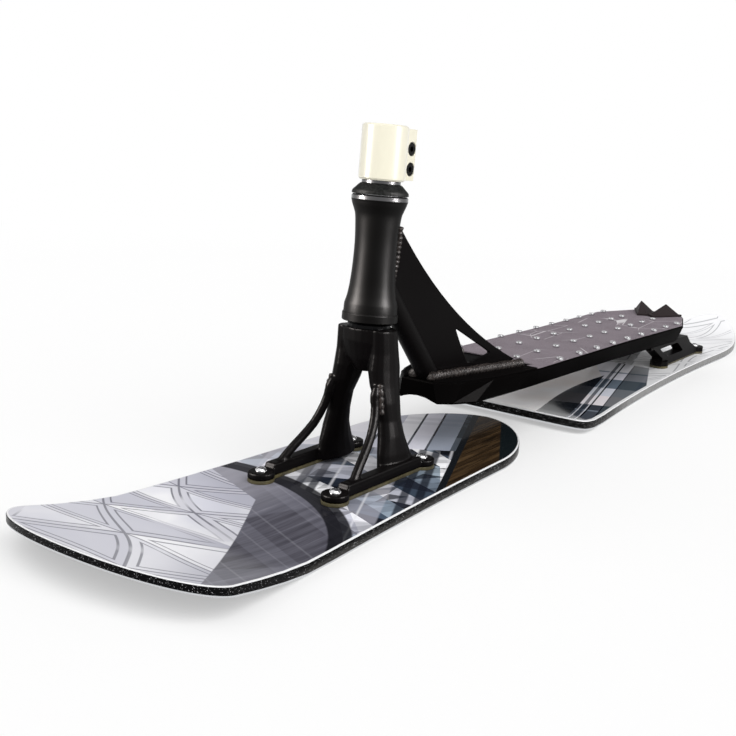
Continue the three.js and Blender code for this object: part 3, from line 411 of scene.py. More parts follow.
whole = shards.node("CombineXYZ", X=cell[0], Y=cell[1], Z=cell[2])
near = [shards.math("PINGPONG", way, 0.5) for way in families]
shards.feed(shards.out, "Tone", shards.node("TexWhiteNoise", Vector=whole.outputs[0]).outputs["Value"])
nearest = shards.math("MINIMUM", near[0], shards.math("MINIMUM", near[1], near[2]))
shards.feed(shards.out, "Edge", nearest)

# Plaid: a broad band, two narrow ones and a thread in each repeat, running one way
plaid = Effect("plaid_bands", {"Vector": "vector", "Turn": "vector", "Repeat": "float"},
               {"Broad": "float", "Narrow": "float", "Thread": "float"})
laid_way = plaid.node("Mapping", Vector=plaid.given["Vector"], Rotation=plaid.given["Turn"])
along = plaid.node("SeparateXYZ", i0=laid_way.outputs[0]).outputs["X"]
step = plaid.math("FRACT", plaid.math("DIVIDE", along, plaid.given["Repeat"]))


def band(start, end, soft=0.012):
    up = plaid.rise(step, start - soft, start + soft)
    return plaid.both(up, plaid.outside(plaid.rise(step, end - soft, end + soft)))


plaid.feed(plaid.out, "Broad", band(0.06, 0.42))
plaid.feed(plaid.out, "Narrow", plaid.math("MAXIMUM", band(0.52, 0.60), band(0.66, 0.74)))
plaid.feed(plaid.out, "Thread", plaid.math("MAXIMUM", band(0.84, 0.865), band(0.22, 0.24)))


def lacquered(ink, spot, flat, color, border):
    """The print stops at a white border, and clear gloss with hairline scratches lies over it."""
    rim = ink.node("Attribute")
    rim.attribute_name = "from_edge"
    color = ink.mix(ink.rise(rim.outputs["Fac"], border, border + 0.0005), (0.86, 0.86, 0.87), color)
    scratch = ink.group(hairlines, Vector=flat, Amount=0.5)
    ink.give(Base_Color=color, Roughness=ink.math("MULTIPLY_ADD", scratch["Mask"], 0.25, 0.085),
             Normal=ink.bump(ink.noise(spot, 60, 2), 0.05, 0.0006))


# The front print has a pale nose of facets with fine outlines, then a smoky middle behind an arc
front_print = ink = Finish("front_print", roughness=0.09, IOR=1.12)
spot = ink.place()
flat = ink.vector("MULTIPLY", spot, (1, 1, 0))
pale = ink.ramp(ink.noise(flat, 9, 3), (0.3, (0.86, 0.85, 0.89)), (0.5, (0.94, 0.935, 0.955)),
                (0.7, (0.72, 0.72, 0.79)))
facets = ink.group(shards, Vector=flat, Scale=13.0, Turn=(0, 0, 0.6))
grey_facets = ink.ramp(facets["Tone"], (0.0, 0.0), (0.42, 0.40), (0.62, 0.0), (0.74, 0.75), step=True)
pale = ink.mix(grey_facets, pale, (0.50, 0.50, 0.58))
toward_smoke = ink.outside(ink.both(ink.beyond(spot, (0.150, 0.0), -22, 0.03),
                                    ink.beyond(spot, (0.235, 0.035), -58, 0.03)))
smoky_facets = ink.ramp(facets["Tone"], (0.0, 0.35), (0.3, 0.75), (0.55, 0.2), (0.8, 0.6), step=True)
contour = ink.math("ABSOLUTE", ink.math("SUBTRACT", facets["Edge"], 0.10))
outline = ink.math("MAXIMUM", ink.outside(ink.rise(contour, 0.008, 0.016)),
                   ink.outside(ink.rise(facets["Edge"], 0.011, 0.020)))
outline = ink.both(outline, ink.rise(ink.noise(flat, 11, 1), 0.34, 0.46))
ribbon = ink.both(ink.rise(facets["Edge"], 0.012, 0.016), ink.rise(ink.noise(flat, 9, 0), 0.46, 0.50),
                  ink.outside(ink.rise(facets["Edge"], 0.095, 0.10)))
pale = ink.paint(pale, (toward_smoke, smoky_facets, (0.34, 0.34, 0.41)),
                 (ribbon, 0.55, (0.58, 0.57, 0.63)), (outline, 0.8, (0.12, 0.12, 0.15)))
smoke = ink.noise(ink.turned(flat, -66, (6, 150, 1)), 1.0, 5, 0.65)
dark = ink.ramp(smoke, (0.30, (0.045, 0.043, 0.056)), (0.5, (0.085, 0.082, 0.103)),
                (0.66, (0.125, 0.122, 0.15)), (0.74, (0.22, 0.215, 0.25)))
smoke_along = ink.group(plaid, Vector=flat, Turn=(0, 0, 0.42), Repeat=0.07)
smoke_across = ink.group(plaid, Vector=flat, Turn=(0, 0, -1.2), Repeat=0.16)
to_left = ink.node("SeparateXYZ", i0=flat).outputs["Y"]
dark = ink.paint(dark, (smoke_across["Broad"], 0.22, (0.24, 0.24, 0.29)),
                 (smoke_along["Thread"], 0.10, (0.62, 0.62, 0.68)),
                 (smoke_along["Broad"], 0.10, (0.42, 0.42, 0.50)),
                 (ink.rise(to_left, 0.02, -0.075), 0.45, (0.62, 0.61, 0.68)))

# Behind the arc lie splinters of grey, navy and white under plaid
broad_chips = ink.group(shards, Vector=flat, Scale=26.0, Turn=(0, 0, 0.9))
fine_chips = ink.group(shards, Vector=flat, Scale=47.0, Turn=(0, 0, -0.35))
chips = ink.ramp(broad_chips["Tone"], (0.0, (0.010, 0.012, 0.018)), (0.22, (0.05, 0.07, 0.10)),
                 (0.36, (0.22, 0.27, 0.33)), (0.50, (0.52, 0.53, 0.60)), (0.66, (0.86, 0.86, 0.88)),
                 (0.84, (0.30, 0.36, 0.42)), step=True)
strength = ink.ramp(fine_chips["Tone"], (0.0, 0.22), (0.18, 1.0), (0.66, 1.35), (0.85, 0.62), step=True)
plaid_along = ink.group(plaid, Vector=flat, Turn=(0, 0, -2.03), Repeat=0.094)
plaid_across = ink.group(plaid, Vector=flat, Turn=(0, 0, -0.55), Repeat=0.125)
chips = ink.paint(ink.mix(1.0, chips, strength, "MULTIPLY"),
                  (plaid_along["Broad"], 0.38, (0.64, 0.63, 0.72)),
                  (plaid_across["Broad"], 0.30, (0.05, 0.065, 0.10)),
                  (plaid_along["Narrow"], 0.85, (0.012, 0.015, 0.024)),
                  (plaid_across["Narrow"], 0.25, (0.05, 0.055, 0.075)),
                  (plaid_along["Thread"], 0.6, (0.84, 0.84, 0.88)),
                  (ink.rise(to_left, 0.0, -0.06), 0.45, (0.74, 0.73, 0.80)))

# The tail ends in a slanting band of wood, with lavender stripes of the same slant ahead of it
beside_wood = ink.past(flat, (-0.0179, 0.0856), (-0.4029, 0.9153))
stripes = ink.ramp(ink.math("MULTIPLY", beside_wood, -5.0), (0.0, (0.02, 0.03, 0.04)),
                   (0.055, (0.30, 0.33, 0.40)), (0.165, (0.02, 0.02, 0.03)), (0.177, (0.76, 0.75, 0.83)),
                   (0.265, (0.04, 0.04, 0.05)), (0.277, (0.88, 0.87, 0.91)), (0.36, (0.60, 0.60, 0.68)),
                   (0.44, (0.05, 0.05, 0.06)), (0.45, (0.84, 0.83, 0.88)), step=True)
stripes = ink.paint(stripes, (plaid_across["Broad"], 0.15, (0.42, 0.46, 0.54)),
                    (plaid_across["Narrow"], 0.15, (0.14, 0.16, 0.20)))
wood_grain = ink.noise(ink.turned(flat, -26.5, (9, 150, 1)), 1.0, 5, 0.65, 0.5)
wood = ink.ramp(wood_grain, (0.30, (0.006, 0.004, 0.003)), (0.46, (0.034, 0.020, 0.010)),
                (0.62, (0.082, 0.050, 0.024)), (0.75, (0.19, 0.125, 0.07)))
chips = ink.mix(ink.beyond(spot, (-0.1, 0.027), 214.8), chips, stripes)
nose_side = ink.both(ink.beyond(spot, (0.128, 0.0), -22), ink.beyond(spot, (0.215, 0.045), -58))
arc = ink.vector("DISTANCE", flat, (0.262, -0.062, 0))
color = ink.mix(ink.rise(arc, 0.196, 0.1968), ink.mix(nose_side, dark, pale), chips)
arc_line = ink.both(ink.rise(arc, 0.184, 0.186), ink.outside(ink.rise(arc, 0.203, 0.205)))
color = ink.paint(color, (arc_line, 0.93, (0.010, 0.010, 0.013)))
color = ink.mix(ink.rise(beside_wood, -0.0065, -0.0058), color, (0.010, 0.012, 0.015))
color = ink.mix(ink.rise(beside_wood, 0.0, 0.0006), color, wood)
color = ink.mix(ink.beyond(spot, (-0.112, 0.0856), 118.8), color, (0.008, 0.012, 0.014))
lacquered(ink, spot, flat, color, 0.0016)


def sidewall_finish(name, low, high, rear=None):
    """Pressed phenolic strip: glossy, with pale flecks of filler. It is darker towards the sheet and lighter
    towards the base, where the lighter colour is a painted reflection.
    """
    wall = Finish(name, roughness=0.28, Specular_IOR_Level=0.03)
    spot = wall.place()
    parts = wall.node("SeparateXYZ", i0=spot)
    # Painted reflection: the low colour, the lighter one, stands for light caught on the lower half of the
    # strip
    color = wall.mix(wall.rise(parts.outputs["Z"], 0.002, 0.0085), low, high)
    if rear:
        color = wall.mix(wall.rise(parts.outputs["X"], -0.33, -0.46), color, rear)
    color = wall.mix(wall.rise(wall.noise(spot, 1100, 1), 0.66, 0.73), color, (0.40, 0.40, 0.41))
    wall.give(Base_Color=color, Roughness=wall.math("MULTIPLY_ADD", wall.noise(spot, 90, 3), 0.25, 0.16),
              Normal=wall.bump(wall.noise(spot, 800, 2), 0.12, 0.0004))
    return wall


def cut_metal(name, color, stretch, spread, least, depth):
    """Bright metal with the fine lines that a grinding wheel or a lathe tool leaves."""
    metal = Finish(name, color, metallic=1.0)
    cut = metal.noise(metal.turned(metal.place(), 0, stretch), 1.0, 2)
    metal.give(Roughness=metal.math("MULTIPLY_ADD", cut, spread, least),
               Normal=metal.bump(cut, depth, 0.0002))
    return metal


# The first colour is the painted reflection low on the sidewall, the second its black top
front_wall = sidewall_finish("front_sidewall", (0.042, 0.040, 0.038), (0.0025, 0.0025, 0.0028))
ground_edge = cut_metal("ground_steel_edge", (0.62, 0.63, 0.65), (40, 40, 2600), 0.25, 0.14, 0.1)

snow_base = Finish("sintered_base", (0.014, 0.015, 0.02), 0.42)
structure = snow_base.noise(snow_base.turned(snow_base.place(), 0, (3, 900, 1)), 1.0, 2)
waxed = snow_base.noise(snow_base.place(), 24, 4)
snow_base.give(Base_Color=snow_base.ramp(waxed, (0.35, (0.010, 0.011, 0.015)), (0.7, (0.028, 0.030, 0.038))),
               Normal=snow_base.bump(structure, 0.25, 0.0003))

SHEET_SECTION = [(0.0005, 0.0094), (0.0005, 0.0101), (0.0006, 0.01035), (0.0009, 0.0105), (0.0017, 0.0105),
                 (0.0024, 0.0105), (0.005, 0.0105), (0.009, 0.0105)]
WALL_SECTION = [(0.0003, 0.0019), (0.0, 0.0022), (0.0, 0.0088), (0.0004, 0.0093)]
EDGE_SECTION = [(0.0022, 0.0), (0.0004, 0.0), (0.0, 0.0004), (0.0, 0.0017), (0.0002, 0.0018),
                (0.0022, 0.0018)]


def wear(finish, *names):
    """A CAD piece whose shape is right keeps its mesh and gets its finish."""
    for name in names:
        nodes[name].data.materials.clear()
        nodes[name].data.materials.append(finish.material)


def laminate(word, body, ski, print_finish, wall_finish):
    sheet = ski_slab(f"{word}_printed_sheet", body, ski, SHEET_SECTION, print_finish)
    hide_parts(f"{word}_ski_topsheet")
    wall = ski_slab(f"{word}_sidewall", body, ski, WALL_SECTION, wall_finish, across=2)
    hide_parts(f"{word}_ski_core")
    edge = ski_hoop(f"{word}_steel_edge", body, ski, EDGE_SECTION, ground_edge)
    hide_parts(f"{word}_ski_edge")
    wear(snow_base, f"{word}_ski_base")


laminate("front", "steering", FRONT_SKI, front_print, front_wall)

# Rear ski: the same laminate, longer and narrower, bent up at the tail. It is bolted under the
# truck and carries the deck. Its print turns from a warm pale corner to a dark swoop with plaid
# behind it, and then to a bare white tail.
REAR_SKI = dict(front=-0.276, front_reach=0.032, front_half=0.093, front_power=7.0, front_rise=0.006,
                front_rise_reach=0.071, front_bend=2.0, front_thin=0.0, waist=0.073, tail_half=0.0707,
                tail_start=-0.775, tail_reach=0.167, tail_power=2.06, rear=-0.942, rear_rise=0.025,
                rear_rise_reach=0.087, rear_thin=0.3)
rear_print = ink = Finish("rear_print", roughness=0.09, IOR=1.09)
spot = ink.place()
flat = ink.vector("MULTIPLY", spot, (1, 1, 0))
warm = ink.ramp(ink.noise(flat, 12, 3), (0.35, (0.86, 0.80, 0.77)), (0.6, (0.93, 0.91, 0.92)))
# Bands run outward from the black leaf to the white tail, and backward from the front to the rear
outward = ink.past(flat, (-0.4644, 0.0778), (-0.249, 0.9685))
backward = ink.past(flat, (-0.3117, 0.06), (-0.93, -0.36))
cloth = ink.ramp(ink.math("MULTIPLY", backward, 3.0), (0.0, (0.07, 0.08, 0.10)), (0.07, (0.20, 0.23, 0.28)),
                 (0.085, (0.05, 0.055, 0.07)), (0.16, (0.92, 0.86, 0.89)), (0.30, (0.74, 0.76, 0.84)),
                 (0.42, (0.16, 0.20, 0.25)), (0.57, (0.84, 0.83, 0.91)), (0.68, (0.30, 0.34, 0.40)),
                 (0.70, (0.88, 0.87, 0.92)), step=True)
slate = ink.mix(0.16, (0.055, 0.068, 0.078), cloth)
navy = ink.mix(0.22, (0.03, 0.04, 0.055), cloth)
bands = ink.math("MULTIPLY_ADD", outward, 10.0, 0.7)
for stops, shade in (
        (((0.0, 0.0), (0.43, 1.0)), slate),
        (((0.0, 0.0), (0.20, 1.0), (0.245, 0.0), (0.64, 0.8), (0.68, 0.0)), navy),
        (((0.0, 0.0), (0.28, 0.95), (0.300, 0.0), (0.415, 0.9), (0.432, 0.0)), (0.010, 0.012, 0.018)),
        (((0.0, 0.0), (0.185, 0.75), (0.198, 0.0), (0.262, 0.8), (0.276, 0.0)), (0.84, 0.84, 0.90))):
    cloth = ink.mix(ink.ramp(bands, *stops, step=True), cloth, shade)
within = ink.outside(ink.rise(ink.vector("DISTANCE", flat, (-0.46, 0.582, 0)), 0.5755, 0.5762))
dark_side = ink.math("MAXIMUM", within, ink.beyond(spot, (-0.509, 0.0083), 121.2))
leaf = ink.both(ink.outside(ink.rise(outward, -0.0542, -0.0536)), within)
cloth = ink.paint(cloth, (leaf, 0.95, (0.006, 0.008, 0.012)))
white_tail = ink.ramp(ink.noise(flat, 10, 3), (0.3, (0.82, 0.82, 0.835)), (0.7, (0.90, 0.90, 0.91)))
facets = ink.group(shards, Vector=flat, Scale=14.0, Turn=(0, 0, -0.4))
contour = ink.math("ABSOLUTE", ink.math("SUBTRACT", facets["Edge"], 0.07))
white_tail = ink.paint(white_tail, (ink.outside(ink.rise(contour, 0.010, 0.022)), 0.6, (0.22, 0.22, 0.24)))
bare = ink.math("MAXIMUM", ink.beyond(spot, (-0.600, 0.04), 184), ink.beyond(spot, (-0.4922, 0.075), 110.5))
lacquered(ink, spot, flat, ink.mix(bare, ink.mix(dark_side, warm, cloth), white_tail), 0.0042)
# The first colour is the painted reflection low on the sidewall, the second its black top
rear_wall = sidewall_finish("rear_sidewall", (0.025, 0.024, 0.024), (0.003, 0.003, 0.003),
                            rear=(0.24, 0.238, 0.235))
laminate("rear", "frame", REAR_SKI, rear_print, rear_wall)

# Neck: a plate folded to two wings that are coped round the head tube and stand astride the deck.
# It is steel with a black powder coat, and its edges are broken, so that they catch the light.

# Fine grain of a sprayed, moulded or ground surface, and how its gloss wanders
grain = Effect("surface_grain", {"Vector": "vector", "Scale": "float", "Drift": "float"},
               {"Height": "float", "Gloss": "float"})
speck = grain.node("TexNoise", Vector=grain.given["Vector"], Scale=grain.given["Scale"], Detail=3.0)
cloud = grain.node("TexNoise", Vector=grain.given["Vector"], Scale=14.0, Detail=2.0)
grain.feed(grain.out, "Height", speck.outputs["Fac"])
wander = grain.math("SUBTRACT", cloud.outputs["Fac"], 0.5)
grain.feed(grain.out, "Gloss", grain.math("MULTIPLY", wander, grain.given["Drift"]))


def grained(name, color, gloss, scale, drift, depth, distance=0.0003, **sockets):
    """A finish with fine grain, whose gloss wanders a little."""
    coat = Finish(name, color, gloss, **sockets)
    fine = coat.group(grain, Vector=coat.place(), Scale=scale, Drift=drift)
    coat.give(Roughness=coat.math("ADD", fine["Gloss"], gloss),
              Normal=coat.bump(fine["Height"], depth, distance))
    return coat


def powder_coat(name, color, gloss, level):
    return grained(name, color, gloss, 900.0, 0.22, 0.12, Specular_IOR_Level=level)


def broken_edges(node, body, finish, width=0.0005, angle=28):
    """The CAD piece again, its triangles merged to flat faces and, unless width is 0, its edges rounded off.
    """
    shape = bmesh.new()
    shape.from_mesh(nodes[node].data)
    bmesh.ops.remove_doubles(shape, verts=shape.verts, dist=2e-6)
    bmesh.ops.dissolve_limit(shape, angle_limit=math.radians(0.6), verts=shape.verts, edges=shape.edges)
    if width:
        sharp = [edge for edge in shape.edges
                 if len(edge.link_faces) == 2 and edge.calc_face_angle(0) > math.radians(angle)]
        bmesh.ops.bevel(shape, geom=sharp, offset=width, segments=2, profile=0.5, affect="EDGES",
                        clamp_overlap=True)
    bmesh.ops.recalc_face_normals(shape, faces=shape.faces)
    mesh = bpy.data.meshes.new(f"{node}_finished")
    shape.to_mesh(mesh)
    shape.free()
    thing = lay(f"{node}_finished", body, mesh, finish, 38)
    thing.modifiers.new("even_normals", "WEIGHTED_NORMAL").keep_sharp = True
    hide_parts(node)
    return thing


black_coat = powder_coat("black_coat", (0.0030, 0.0024, 0.0025), 0.38, 0.022)
broken_edges("neck", "frame", black_coat, 0.0007)

# Deck: an aluminium extrusion with chamfered sides, cut to a point in front. Its coat is a deeper
# and duller black than the steel's, and the neck is welded to its top.
deck_coat = powder_coat("deck_coat", (0.0014, 0.0011, 0.0011), 0.42, 0.003)
broken_edges("deck", "frame", deck_coat, 0.0006)

# Rear truck: a low steel bridge with a foot on each side, coated like the neck. It stands on the
# rear ski's four bolts and holds up the tail of the deck.
broken_edges("rear_truck", "frame", black_coat, 0.0006)

# Fork: a forged crown and two legs, with a bent strut welded to each. The joints are filled and
# sprayed over, so the whole fork reads as one smooth casting.


def tube_rings(shape, path, radii, sides=14):
    """A closed tube through a few points, added to a shape, with a radius at each point."""
    rings = []
    turns = [2 * math.pi * j / sides for j in range(sides)]
    for i, (point, radius) in enumerate(zip(path, radii)):
        run = (path[min(i + 1, len(path) - 1)] - path[max(i - 1, 0)]).normalized()
        side = run.cross(Vector((0.3, 0.1, 0.95))).normalized()
        over = run.cross(side)
        rings.append([shape.verts.new(point + radius * (math.cos(turn) * side + math.sin(turn) * over))
                      for turn in turns])
    for low, high in zip(rings, rings[1:]):
        for j in range(sides):
            shape.faces.new((low[j], low[(j + 1) % sides], high[(j + 1) % sides], high[j]))
    shape.faces.new(rings[0][::-1])
    shape.faces.new(rings[-1])


STRUT_TIP = ((12.0, 25.3, 80), (11.3, 25.0, 86.5), (8.8, 24.2, 91.5), (5.0, 23.2, 95.5))
fork = broken_edges("fork", "steering", black_coat, 0)
shape = bmesh.new()
shape.from_mesh(fork.data)
for side in (1, -1):
    tip = [Vector((x, side * y, z)) / 1000 for x, y, z in STRUT_TIP]
    tube_rings(shape, tip, (0.0040, 0.0043, 0.0036, 0.0022))
bmesh.ops.recalc_face_normals(shape, faces=shape.faces)
shape.to_mesh(fork.data)
shape.free()
fork.modifiers.clear()
rounding = fork.modifiers.new("rounding", "REMESH")
rounding.mode = "VOXEL"
rounding.voxel_size = 0.0009
rounding.use_smooth_shade = True
soft = fork.modifiers.new("soft", "SMOOTH")
soft.factor = 0.5
soft.iterations = 4

# Welds: rippled beads laid by hand, sprayed black with the rest but rougher and a little warmer.
# One pair runs along the foot of the neck, one up the head tube and one down the struts.
weld_coat = grained("weld_coat", (0.018, 0.014, 0.012), 0.5, 500.0, 0.4, 0.6, 0.0008,
                    Specular_IOR_Level=0.06)
scale = weld_coat.noise(weld_coat.place(), 420, 2)
weld_coat.give(Base_Color=weld_coat.ramp(scale, (0.35, (0.004, 0.003, 0.003)), (0.7, (0.050, 0.040, 0.036))))


def weld_bead(name, body, path, radius, pitch):
    """A bead along a polyline: each ripple swells fast and dies away slowly, like a row of coins."""
    shape = bmesh.new()
    points, radii, gone = [], [], 0.0
    for a, b in zip(path, path[1:]):
        span = (b - a).length
        count = max(2, int(span / (pitch / 6)))
        for i in range(count):
            phase = (gone + span * i / count) / pitch % 1
            swell = 0.66 + 0.34 * math.sin(math.pi * phase ** 0.55)
            wander = 1 + 0.05 * math.sin(gone * 900 + 37 * (gone + span * i / count))
            points.append(a.lerp(b, i / count))
            radii.append(radius * swell * wander)
        gone += span
    radii[0] = radii[-1] = radius * 0.35
    tube_rings(shape, points, radii, 12)
    mesh = bpy.data.meshes.new(name)
    bmesh.ops.recalc_face_normals(shape, faces=shape.faces)
    shape.to_mesh(mesh)
    shape.free()
    return lay(name, body, mesh, weld_coat)


# In millimetres: where the neck's foot lies on the deck, and its wing on the head tube
DECK_FRONT, DECK_TOP, DECK_SLOPE = -94, 77.6, 0.02
FOLD, FOLD_X, FOLD_Z = math.radians(49.3), -97, 81
FOOT_FRONT, FOOT_LONG, FOOT_HALF, FOOT_SPLAY = -100, 134, 8.3, 0.3
BEAD_UP, BEAD_OUT, BEAD_STEPS = 3.0, 3.4, 8
AXIS_LEAN = math.radians(4)
WING_TAPER, WING_RISE, WING_START, WING_TOP, WING_LONG = 0.2274, 0.1956, -34.2, 231, 74
WAIST_RADIUS, FLARE_OUT, FLARE_TOP = 19.6, 4.5, 170
for word, side in (("left", 1), ("right", -1)):
    path = []
    for i in range(BEAD_STEPS + 1):
        x = FOOT_FRONT - FOOT_LONG * i / BEAD_STEPS
        z = DECK_TOP + DECK_SLOPE * (x - DECK_FRONT) + BEAD_UP
        depth = -math.sin(FOLD) * (x - FOLD_X) + math.cos(FOLD) * (z - FOLD_Z)
        half = FOOT_HALF + max(depth - 15, -6) * FOOT_SPLAY + BEAD_OUT
        path.append(Vector((x, side * half, z)) / 1000)
    foot = weld_bead(f"neck_foot_bead_{word}", "frame", path, 0.0052, 0.0046)
    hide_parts(f"neck_weld_{word}")
    climb = []
    for i in range(BEAD_STEPS + 1):
        z = WING_TOP - WING_LONG * i / BEAD_STEPS
        axis_x = -z * math.tan(AXIS_LEAN)
        tube = WAIST_RADIUS + FLARE_OUT * max(0.0, (FLARE_TOP - z) / 20) ** 1.5
        out = WING_START - WING_TAPER * axis_x + WING_RISE * z
        steep = 1 + WING_TAPER ** 2
        root = (WING_TAPER * out) ** 2 - steep * (out * out - tube * tube)
        reach = (-WING_TAPER * out + math.sqrt(max(root, 0))) / steep
        climb.append(Vector((axis_x - reach, side * (out + WING_TAPER * reach), z)) / 1000)
    weld_bead(f"neck_tube_bead_{word}", "frame", climb, 0.0037, 0.0044)
    seam = [Vector((x, side * y, z)) / 1000 for x, y, z in
            ((6.0, 26.6, 96), (7.6, 28.2, 89), (8.2, 29.6, 80), (8.8, 31.0, 68))]
    weld_bead(f"strut_bead_{word}", "steering", seam, 0.0030, 0.0058)

# Head tube: turned aluminium, flared at both ends for the bearings, leaning back by 4 degrees and
# coated black. The bottom band stands proud of the flare.
LEAN = Matrix.Rotation(-AXIS_LEAN, 4, "Y")


def turned_piece(name, body, profile, finish, sides=96):
    """A closed profile of (radius, height) points, turned about the steering axis."""
    points = []
    for i in range(sides):
        turn = 2 * math.pi * i / sides
        points += [LEAN @ Vector((r * math.cos(turn), r * math.sin(turn), s)) for r, s in profile]
    faces = skin_faces(sides, len(profile), closed=True)
    return mesh_piece(name, body, points, faces, finish, 32)


tube_coat = powder_coat("tube_coat", (0.0010, 0.0008, 0.0007), 0.41, 0.045)
HEAD_LOW, HEAD_LONG, HEAD_WIDE, HEAD_WAIST, SEAT, BORE = 0.147, 0.111, 0.025, 0.019, 0.0214, 0.0164
flare = [(0.136, 0.8), (0.191, 0.52), (0.245, 0.35), (0.3, 0.23), (0.41, 0.08), (0.53, 0.0),
         (0.64, 0.0), (0.745, 0.1), (0.836, 0.25), (0.882, 0.5), (0.923, 0.8)]
head_top = HEAD_LOW + HEAD_LONG
outer = [(HEAD_WIDE - 0.0006, HEAD_LOW), (HEAD_WIDE, HEAD_LOW + 0.0006), (HEAD_WIDE, HEAD_LOW + 0.0066),
         (HEAD_WIDE - 0.0004, HEAD_LOW + 0.0072), (HEAD_WIDE - 0.0009, HEAD_LOW + 0.0078)]
knots = [(HEAD_WAIST + (HEAD_WIDE - HEAD_WAIST) * out, HEAD_LOW + HEAD_LONG * up) for up, out in flare]
knots.append((HEAD_WIDE - 0.0001, head_top - 0.0045))
for k in range(len(knots) - 1):
    before, a, b, after = (knots[max(k - 1, 0)], knots[k], knots[k + 1], knots[min(k + 2, len(knots) - 1)])
    for t in (0, 0.25, 0.5, 0.75):
        bend = [2 * before[i] - 5 * a[i] + 4 * b[i] - after[i] for i in (0, 1)]
        twist = [3 * (a[i] - b[i]) + after[i] - before[i] for i in (0, 1)]
        outer.append([a[i] + ((b[i] - before[i]) * t + bend[i] * t ** 2 + twist[i] * t ** 3) / 2
                      for i in (0, 1)])
outer += [(HEAD_WIDE, head_top - 0.0047), (HEAD_WIDE, head_top - 0.0043)]
bore = [(SEAT, head_top - 0.0043), (SEAT, head_top - 0.008), (BORE, head_top - 0.008),
        (BORE, HEAD_LOW + 0.008), (SEAT, HEAD_LOW + 0.008), (SEAT, HEAD_LOW)]
head_tube = turned_piece("head_tube_body", "frame", outer + bore, tube_coat)
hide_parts("head_tube")

# Lip: the rim at the top of the head tube is left bare of coat. It is faced on the lathe, so fine
# rings run round it, and the spacer above the cap is turned the same way.
machined_lip = cut_metal("machined_lip", (0.085, 0.085, 0.087), (8, 8, 3000), 0.2, 0.12, 0.06)
turned_piece("head_tube_lip", "frame", [
    (SEAT, head_top - 0.0042), (HEAD_WIDE, head_top - 0.0042), (HEAD_WIDE, head_top - 0.0012),
    (HEAD_WIDE - 0.0008, head_top - 0.0004), (HEAD_WIDE - 0.0012, head_top), (SEAT, head_top)],
    machined_lip)

# Headset cap: moulded plastic with a fine spark texture, over a wedge ring and the upper bearing.
# A thin ring of bright metal spaces the bar clamp off it.
cap_plastic = Finish("cap_plastic", (0.004, 0.0045, 0.004), 0.5, Specular_IOR_Level=0.03)
pebble = cap_plastic.noise(cap_plastic.place(), 700, 3)
speckled = cap_plastic.ramp(pebble, (0.4, (0.0015, 0.0018, 0.0016)), (0.75, (0.022, 0.024, 0.022)))
cap_plastic.give(Base_Color=speckled, Normal=cap_plastic.bump(pebble, 0.55, 0.0006))
cap_low = head_top + 0.0005
HOLE, WEDGE_HOLE = 0.0144, 0.0167
cap_side = [(0.0250, 0.0), (0.0250, 0.0016), (0.02470, 0.0026), (0.0240, 0.0036), (0.0228, 0.0047),
            (0.0214, 0.0061), (0.0200, 0.0076), (0.0186, 0.0089), (0.0176, 0.0094)]
cap = turned_piece("headset_cap_body", "steering",
                   [(r, cap_low + s) for r, s in cap_side]
                   + [(HOLE, cap_low + 0.0094), (HOLE, cap_low + 0.004), (WEDGE_HOLE, cap_low + 0.004),
                      (WEDGE_HOLE, cap_low)], cap_plastic)
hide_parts("headset_cap")
spacer_low = cap_low + 0.0095
spacer = turned_piece("spacer_ring", "steering", [
    (HOLE, spacer_low), (0.0170, spacer_low), (0.0172, spacer_low + 0.0002), (0.0172, spacer_low + 0.0024),
    (0.0170, spacer_low + 0.0026), (HOLE, spacer_low + 0.0026)], machined_lip)
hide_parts("headset_spacer")

# Headset inside: blackened steel for the steerer, its cap, bolt and crown race, and bright steel
# for the bearings, the wedge ring, the shim and the star nut. Their CAD shapes are right.
dark_steel = grained("black_oxide_steel", (0.006, 0.006, 0.0065), 0.34, 1200.0, 0.3, 0.1, 0.0002,
                     metallic=0.7, Specular_IOR_Level=0.1)
bright_steel = cut_metal("bright_steel", (0.72, 0.72, 0.73), (8, 8, 3000), 0.22, 0.1, 0.08)
wear(dark_steel, "steerer_tube", "compression_cap", "compression_bolt", "crown_race")
wear(bright_steel, "compression_ring", "clamp_shim", "star_nut", "lower_bearing_outer_race",
     "upper_bearing_outer_race", "lower_bearing_inner_race", "upper_bearing_inner_race", "lower_ball_cage",
     "upper_ball_cage")

# Bar clamp: a split aluminium collar with a warm white coat. Two black socket screws pinch it
# round the steerer and its shim.
white_coat = grained("warm_white_coat", (0.80, 0.765, 0.62), 0.3, 700.0, 0.15, 0.06, IOR=1.2,
                     Sheen_Weight=0.9, Sheen_Roughness=0.4)
broken_edges("bar_clamp", "steering", white_coat, 0.0007, angle=40)
for height in ("lower", "upper"):
    broken_edges(f"clamp_bolt_{height}", "steering", dark_steel, 0.0003)

# Pads and bolts: each foot stands on a thin olive rubber pad, and bright zinc button screws go
# through it into brass inserts that are pressed into the ski's core.
foot_pad = Finish("foot_pad_rubber", (0.10, 0.085, 0.045), 0.5)
foot_pad.give(Base_Color=foot_pad.ramp(foot_pad.noise(foot_pad.place(), 120, 3), (0.3, (0.05, 0.042, 0.02)),
                                       (0.7, (0.13, 0.11, 0.05))),
              Normal=foot_pad.bump(foot_pad.noise(foot_pad.place(), 900, 2), 0.2, 0.0003))
brass = Finish("insert_brass", (0.58, 0.42, 0.18), 0.3, 1.0)
brass.give(Roughness=brass.math("MULTIPLY_ADD", brass.noise(brass.place(), 400, 2), 0.3, 0.15))


